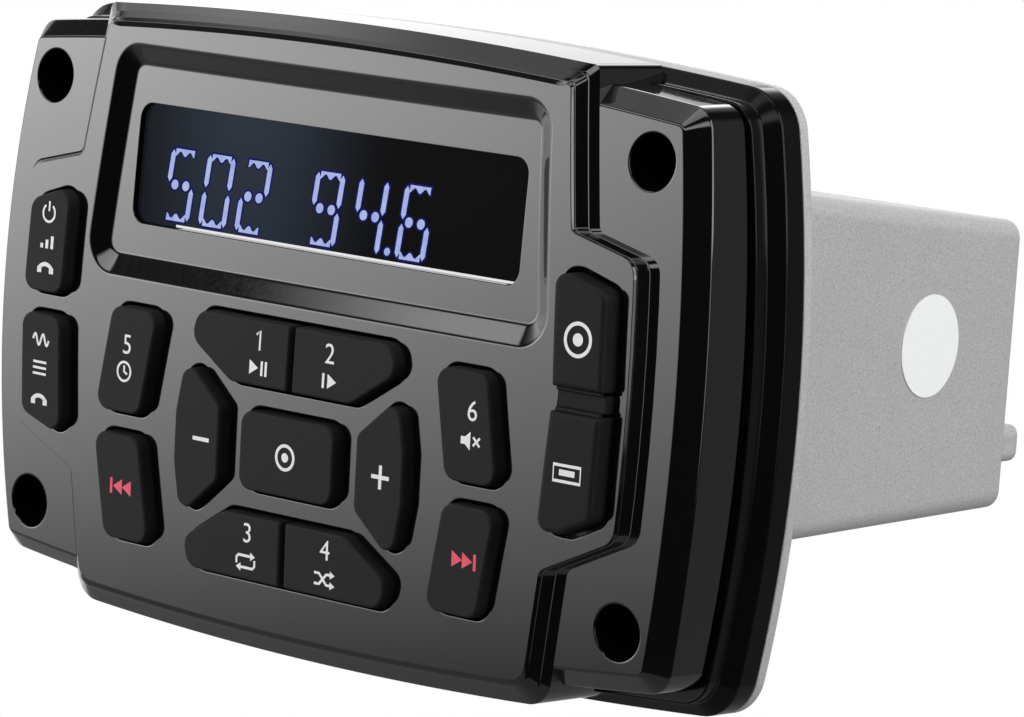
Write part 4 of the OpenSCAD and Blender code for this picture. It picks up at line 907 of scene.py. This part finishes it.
for name, (shape, stem_at, legend) in key_table.items():
    outline = opening(*shape)
    foot, stem = outline(0.1), circle(stem_at, STEM_R, 24)
    # The feet of two keys side by side stop short of the middle
    if stem_at[0] > 0:
        foot[:, 0] = np.maximum(foot[:, 0], PAIR_GAP)
    elif stem_at[0] < 0:
        foot[:, 0] = np.minimum(foot[:, 0], -PAIR_GAP)
    put(name + "_rubber", [
        filled(outline(-KEY_GAP - KEY_ROUND), KEY_APEX, bend=1.0, spacing=1.6),
        carried(outline, key_profile),
        joined([lift(outline(-KEY_GAP), SEAT_Y), lift(foot, SEAT_Y), lift(foot, KEY_BACK)]),
        filled(foot, KEY_BACK, spacing=4, turned=True),
        joined([lift(stem, KEY_BACK), lift(stem, STEM_END)]),
        filled(stem, STEM_END, spacing=3, turned=True)],
        silicone, name, [name])
    marks = []
    for mark, place, size in legend:
        marks += (shifted(icons[mark], place, size) if mark in icons
                  else [figure(mark, place, size)])
    ink = inks["red_screen_print" if name in ("key_previous", "key_next")
               else "white_screen_print"]
    printed(name + "_print", marks, ink, KEY_APEX, name)


# Port covers: two soft rubber flaps over the sockets, joined by a lower strap that is pegged
# into the bezel. They are thicker than the keys and stand higher out of their well.
rubber, tree, shader, at = material("soft_black_rubber")
# Dust and lint of about 0.7 mm cling to the soft rubber and show as pale specks.
lint = add(tree, "ShaderNodeTexNoise",
           {"Vector": at, "Scale": 1 / 0.0007, "Detail": 6.0, "Roughness": 0.75})
specks = add(tree, "ShaderNodeMapRange",
             {"Value": lint.outputs["Fac"], "From Min": 0.63, "From Max": 0.74,
              "To Min": 0.0, "To Max": 1.0})
dusty = add(tree, "ShaderNodeMix",
            {0: specks.outputs["Result"], 6: srgb("#151516"), 7: srgb("#4c4c4d")},
            data_type="RGBA")
tree.links.new(dusty.outputs[2], shader.inputs["Base Color"])
bump = add(tree, "ShaderNodeBump",
           {"Strength": 0.3, "Distance": 0.00004, "Height": lint.outputs["Fac"]})
tree.links.new(bump.outputs["Normal"], shader.inputs["Normal"])
shader.inputs["Roughness"].default_value = 0.58
shader.inputs["Specular IOR Level"].default_value = 0.12

FLAP_APEX, FLAP_BACK = PANEL_APEX - 3, WELL_Y - 0.35
FLAP_GAP, FLAP_ROUND, FLAP_DRAFT, FLAP_CHAMFER = 0.7, 2.2, 0.1, 0.4
NUB, NUB_R, NUB_TIP_R = (PORT_X, 9.6), 2.3, 1.9
HINGE_Y, BEAD_R, BEAD_X = -27.828, 0.4, (54.5, 63.2)
STRAP_Y, STRAP_ROUND = -27.3, 0.6


def bead(z):
    """Thin bead that joins a flap to the strap: circles about its hinge line, shut at both ends."""
    ring = circle((0, 0), 1.0, 16)
    return joined([np.column_stack([np.full(16, x), HINGE_Y + r * ring[:, 0], z + r * ring[:, 1]])
                   for x, r in ((BEAD_X[0], 0.0), (BEAD_X[0], BEAD_R),
                                (BEAD_X[1], BEAD_R), (BEAD_X[1], 0.0))], turned=True)


aux = [(53.2, 0.05), (64.4, 0.05), (63.7, 16.2), (56, 18.4), (52, 18.4)]
usb = [(51.7, -21.8), (57.5, -21.8), (63.8, -18.8), (64.4, -2.05), (53.2, -2.05)]
# Each flap: its outline, corner radii, height of its hinge, and mark with its place and size
flaps = {"aux_flap": (aux, np.array([0.9, 0.9, 2.4, 3, 2.8]), 0.6, "jack", (58.5, 8.2), 1.15),
         "usb_flap": (usb, np.array([2.8, 3, 2.4, 0.9, 0.9]), -2.6, "port", (58.2, -11.8), 1.0)}
flap_profile = eased(
    [(-FLAP_GAP - FLAP_ROUND, FLAP_APEX, 1), (-FLAP_GAP - FLAP_DRAFT, FLAP_APEX, 1),
     (-FLAP_GAP, FLAP_BACK - 1, 0), (-FLAP_GAP - FLAP_CHAMFER, FLAP_BACK, 0)], 0.85, 8)
for name, (points, radii, hinge_z, mark, place, size) in flaps.items():
    outline = opening(points, radii)
    patches = [filled(outline(-FLAP_GAP - FLAP_ROUND), FLAP_APEX, bend=1.0, spacing=1.6),
               carried(outline, flap_profile),
               filled(outline(-FLAP_GAP - FLAP_CHAMFER), FLAP_BACK, spacing=3, turned=True)]
    if name == "aux_flap":
        # A nub behind it plugs the audio jack
        nub, nub_tip = circle(NUB, NUB_R), circle(NUB, NUB_TIP_R)
        patches += [joined([lift(nub, FLAP_BACK), lift(nub, WELL_Y + 0.5),
                            lift(nub_tip, WELL_Y + 0.9)]),
                    filled(nub_tip, WELL_Y + 0.9, spacing=3, turned=True)]
    patches.append(bead(hinge_z))
    put(name + "_rubber", patches, rubber, name, [name])
    printed(name + "_print", shifted(icons[mark], place, size), inks["white_screen_print"],
            FLAP_APEX, name)
strap = opening(rectangle(54.1, -2.45, 63.6, 0.45), np.full(4, 0.5))
put("strap_rubber", [
    filled(strap(-STRAP_ROUND), STRAP_Y, spacing=1.5),
    carried(strap, eased([(-STRAP_ROUND, STRAP_Y), (0, STRAP_Y), (0, FLAP_BACK)], 0.3)),
    filled(strap(0), FLAP_BACK, spacing=3, turned=True)],
    rubber, "stereo", ["port_cover_strap"])


# Parts that keep their solids: the sockets, boards, screws and small parts inside, the rear
# grommet and antenna socket, and the paper sticker on the housing's side.
def plain(name, dark, light, grain_mm, rough, metallic=0.0):
    """Finish of a small part: tone, gloss and relief all follow a noise of one grain size."""
    made, tree, shader, at = material(name)
    noise = add(tree, "ShaderNodeTexNoise",
                {"Vector": at, "Scale": 1000 / grain_mm, "Detail": 4.0})
    tone = add(tree, "ShaderNodeMix",
               {0: noise.outputs["Fac"], 6: srgb(dark), 7: srgb(light)}, data_type="RGBA")
    tree.links.new(tone.outputs[2], shader.inputs["Base Color"])
    spread = add(tree, "ShaderNodeMapRange",
                 {"Value": noise.outputs["Fac"], "To Min": rough - 0.08, "To Max": rough + 0.08})
    tree.links.new(spread.outputs["Result"], shader.inputs["Roughness"])
    relief = add(tree, "ShaderNodeBump",
                 {"Strength": 0.3, "Distance": 0.00001, "Height": noise.outputs["Fac"]})
    tree.links.new(relief.outputs["Normal"], shader.inputs["Normal"])
    shader.inputs["Metallic"].default_value = metallic
    return made


small_parts = [
    (plain("green_solder_mask", "#10502a", "#1c6b39", 2.0, 0.4),
     [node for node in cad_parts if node.endswith(("_board", "_module"))]),
    (plain("zinc_plated_steel", "#9a9ca0", "#c6c8cb", 0.8, 0.32, 1.0),
     ["housing_screws", "key_board_screws", "port_screws", "main_board_screws", "clamp_screw"]),
    (plain("nickel_plated_steel", "#a8aaad", "#cfd1d3", 1.5, 0.25, 1.0),
     ["usb_shell", "antenna_socket", "chip_clamp", "tuner_can"]),
    (plain("black_moulded_plastic", "#121213", "#1e1e20", 0.5, 0.5),
     ["aux_jack", "port_plate", "key_switches", "amplifier_chip", "control_chip", "capacitors"]),
    (plain("white_moulded_plastic", "#d6d6d2", "#ecece8", 0.6, 0.45),
     ["usb_tongue", "lcd_frame", "backlight", "ribbon_cable", "ribbon_sockets"]),
    (plain("black_seal_rubber", "#101011", "#1c1c1d", 0.4, 0.65),
     ["harness_grommet", "bezel_seal"]),
    (plain("display_glass", "#0d0f14", "#171a22", 3.0, 0.15), ["lcd_panel"]),
    (plain("enamelled_copper_winding", "#5c2f14", "#92531f", 0.7, 0.35, 0.6), ["choke"]),
    (plain("keypad_silicone", "#232324", "#303031", 0.3, 0.6), ["keypad_mat"]),
    (plain("white_coated_paper", "#e2e4e4", "#eceeee", 0.5, 0.5), ["round_sticker"])]
for finish, nodes in small_parts:
    for node in nodes:
        node_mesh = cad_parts[node].data
        node_mesh.materials.clear()
        node_mesh.materials.append(finish)


# Stage: a pale floor under the stereo, a white surround for the camera, a large softbox at the
# front left that the gloss reflects, and lamps above and at the right for the casting.
FLOOR_Z, FLOOR_R, FLOOR_SIDES, WHITE = -0.13, 0.2, 96, srgb("#ffffff")
floor_mesh = bpy.data.meshes.new("floor")
floor_edge = np.column_stack([circle((0, 0.03), FLOOR_R, FLOOR_SIDES),
                              np.full(FLOOR_SIDES, FLOOR_Z)])
floor_mesh.from_pydata(floor_edge.tolist(), [], [list(range(FLOOR_SIDES))])
floor = bpy.data.objects.new("floor", floor_mesh)
scene.collection.objects.link(floor)
pale, tree, shader, _ = material("pale_floor")
shader.inputs["Base Color"].default_value = srgb("#909090")
shader.inputs["Roughness"].default_value = 0.9
path = add(tree, "ShaderNodeLightPath")
white = add(tree, "ShaderNodeEmission", {"Color": WHITE, "Strength": 1.0})
share = add(tree, "ShaderNodeMath", {0: path.outputs["Is Camera Ray"], 1: 0.9},
            operation="MULTIPLY")
mixed = add(tree, "ShaderNodeMixShader", {0: share.outputs["Value"], 1: shader.outputs["BSDF"],
                                          2: white.outputs["Emission"]})
tree.links.new(mixed.outputs["Shader"], tree.nodes["Material Output"].inputs["Surface"])
floor_mesh.materials.append(pale)

world = bpy.data.worlds.new("studio")
scene.world = world
world.use_nodes = True
tree = world.node_tree
tree.nodes.clear()
look = add(tree, "ShaderNodeSeparateXYZ",
           {"Vector": add(tree, "ShaderNodeTexCoord").outputs["Generated"]})


def region(strength, *ramps):
    """Part of the surround: a strength times a ramp along each given axis of the direction.

    A ramp is its axis, where it starts and stops, and its values there.
    """
    for axis, start, stop, low, high in ramps:
        ramp = add(tree, "ShaderNodeMapRange",
                   {"Value": look.outputs[axis], "From Min": start, "From Max": stop,
                    "To Min": low, "To Max": high})
        strength = add(tree, "ShaderNodeMath", {0: ramp.outputs["Result"], 1: strength},
                       operation="MULTIPLY").outputs["Value"]
    return strength


regions = [
    # softbox at the front left, brightest along its upper edge
    region(7.4, ("X", -0.27, -0.83, 0, 1.05), ("Y", -0.3, -0.55, 0, 1),
           ("Z", -0.29, 0.02, 0.1, 1), ("Z", 0.12, 0.26, 1, 0.02)),
    # second lamp above it, seen only in the slope below the display
    region(4.0, ("X", -0.71, -0.66, 0, 1), ("Y", -0.3, -0.42, 0, 1),
           ("Z", 0.45, 0.52, 0, 1), ("Z", 0.64, 0.72, 1, 0)),
    # white wall at the left, brightest straight to the left, with a patch above that lights the
    # top slope
    region(0.9, ("X", 0.0, -0.45, 0, 1), ("Y", -0.42, -0.2, 0, 1)),
    region(1.2, ("X", -0.92, -0.96, 0, 1)),
    region(1.7, ("X", -0.65, -0.74, 0, 1), ("Y", -0.06, -0.13, 0, 1),
           ("Y", -0.3, -0.22, 0, 1), ("Z", 0.5, 0.6, 0, 1)),
    # black flag between them, seen in the upper left chamfer
    region(-0.85, ("X", -0.7, -0.735, 0, 1), ("Y", -0.06, -0.02, 0, 1),
           ("Y", 0.1, 0.2, 1, 0), ("Z", 0.5, 0.55, 0, 1), ("Z", 0.75, 0.8, 1, 0)),
    # the wall behind at the left, and a strip above it that lights the edges facing up
    region(0.5, ("X", -0.1, -0.4, 0, 1), ("Y", 0.2, 0.45, 0, 1),
           ("Z", -0.3, 0.0, 0, 1), ("Z", 0.17, 0.24, 1, 0)),
    region(4.5, ("X", -0.3, -0.5, 0, 1), ("Y", 0.2, 0.35, 0, 1),
           ("Z", 0.34, 0.42, 0, 1), ("Z", 0.62, 0.72, 1, 0)),
    # wall behind at the right, and a narrow reflector straight to the right
    region(0.26, ("X", 0.3, 0.5, 0, 1), ("Y", 0.4, 0.6, 0, 1)),
    region(2.4, ("X", 0.965, 0.985, 0, 1)),
    # light thrown back from below
    region(0.06, ("Z", -0.45, -0.65, 0, 1)),
    # ceiling
    region(0.8, ("Z", 0.84, 0.94, 0, 1))]
around = add(tree, "ShaderNodeMath", {0: regions[0], 1: 0.03}, operation="ADD")
for part in regions[1:]:
    around = add(tree, "ShaderNodeMath", {0: around.outputs["Value"], 1: part}, operation="ADD")
path = add(tree, "ShaderNodeLightPath")
studio = add(tree, "ShaderNodeBackground", {"Color": WHITE, "Strength": around.outputs["Value"]})
surround = add(tree, "ShaderNodeBackground", {"Color": WHITE, "Strength": 1.0})
chosen = add(tree, "ShaderNodeMixShader",
             {0: path.outputs["Is Camera Ray"], 1: studio.outputs["Background"],
              2: surround.outputs["Background"]})
tree.links.new(chosen.outputs["Shader"], add(tree, "ShaderNodeOutputWorld").inputs["Surface"])


def lamp(name, place, aim, size, power):
    """Square soft lamp at a place, facing a point."""
    data = bpy.data.lights.new(name, "AREA")
    data.shape, data.size, data.energy = "SQUARE", size, power
    made = bpy.data.objects.new(name, data)
    scene.collection.objects.link(made)
    z = np.array(place, float) - np.array(aim)
    z /= np.linalg.norm(z)
    x = np.cross((0, 0, 1), z)
    x /= np.linalg.norm(x)
    made.matrix_world = set_at(place, x, np.cross(z, x), z)


lamp("top_lamp", (0.1, -0.25, 0.9), (0, 0, 0), 0.5, 1.8)
lamp("side_lamp", (0.9, 0.25, 0.45), (0.06, 0.03, 0), 0.8, 9.2)
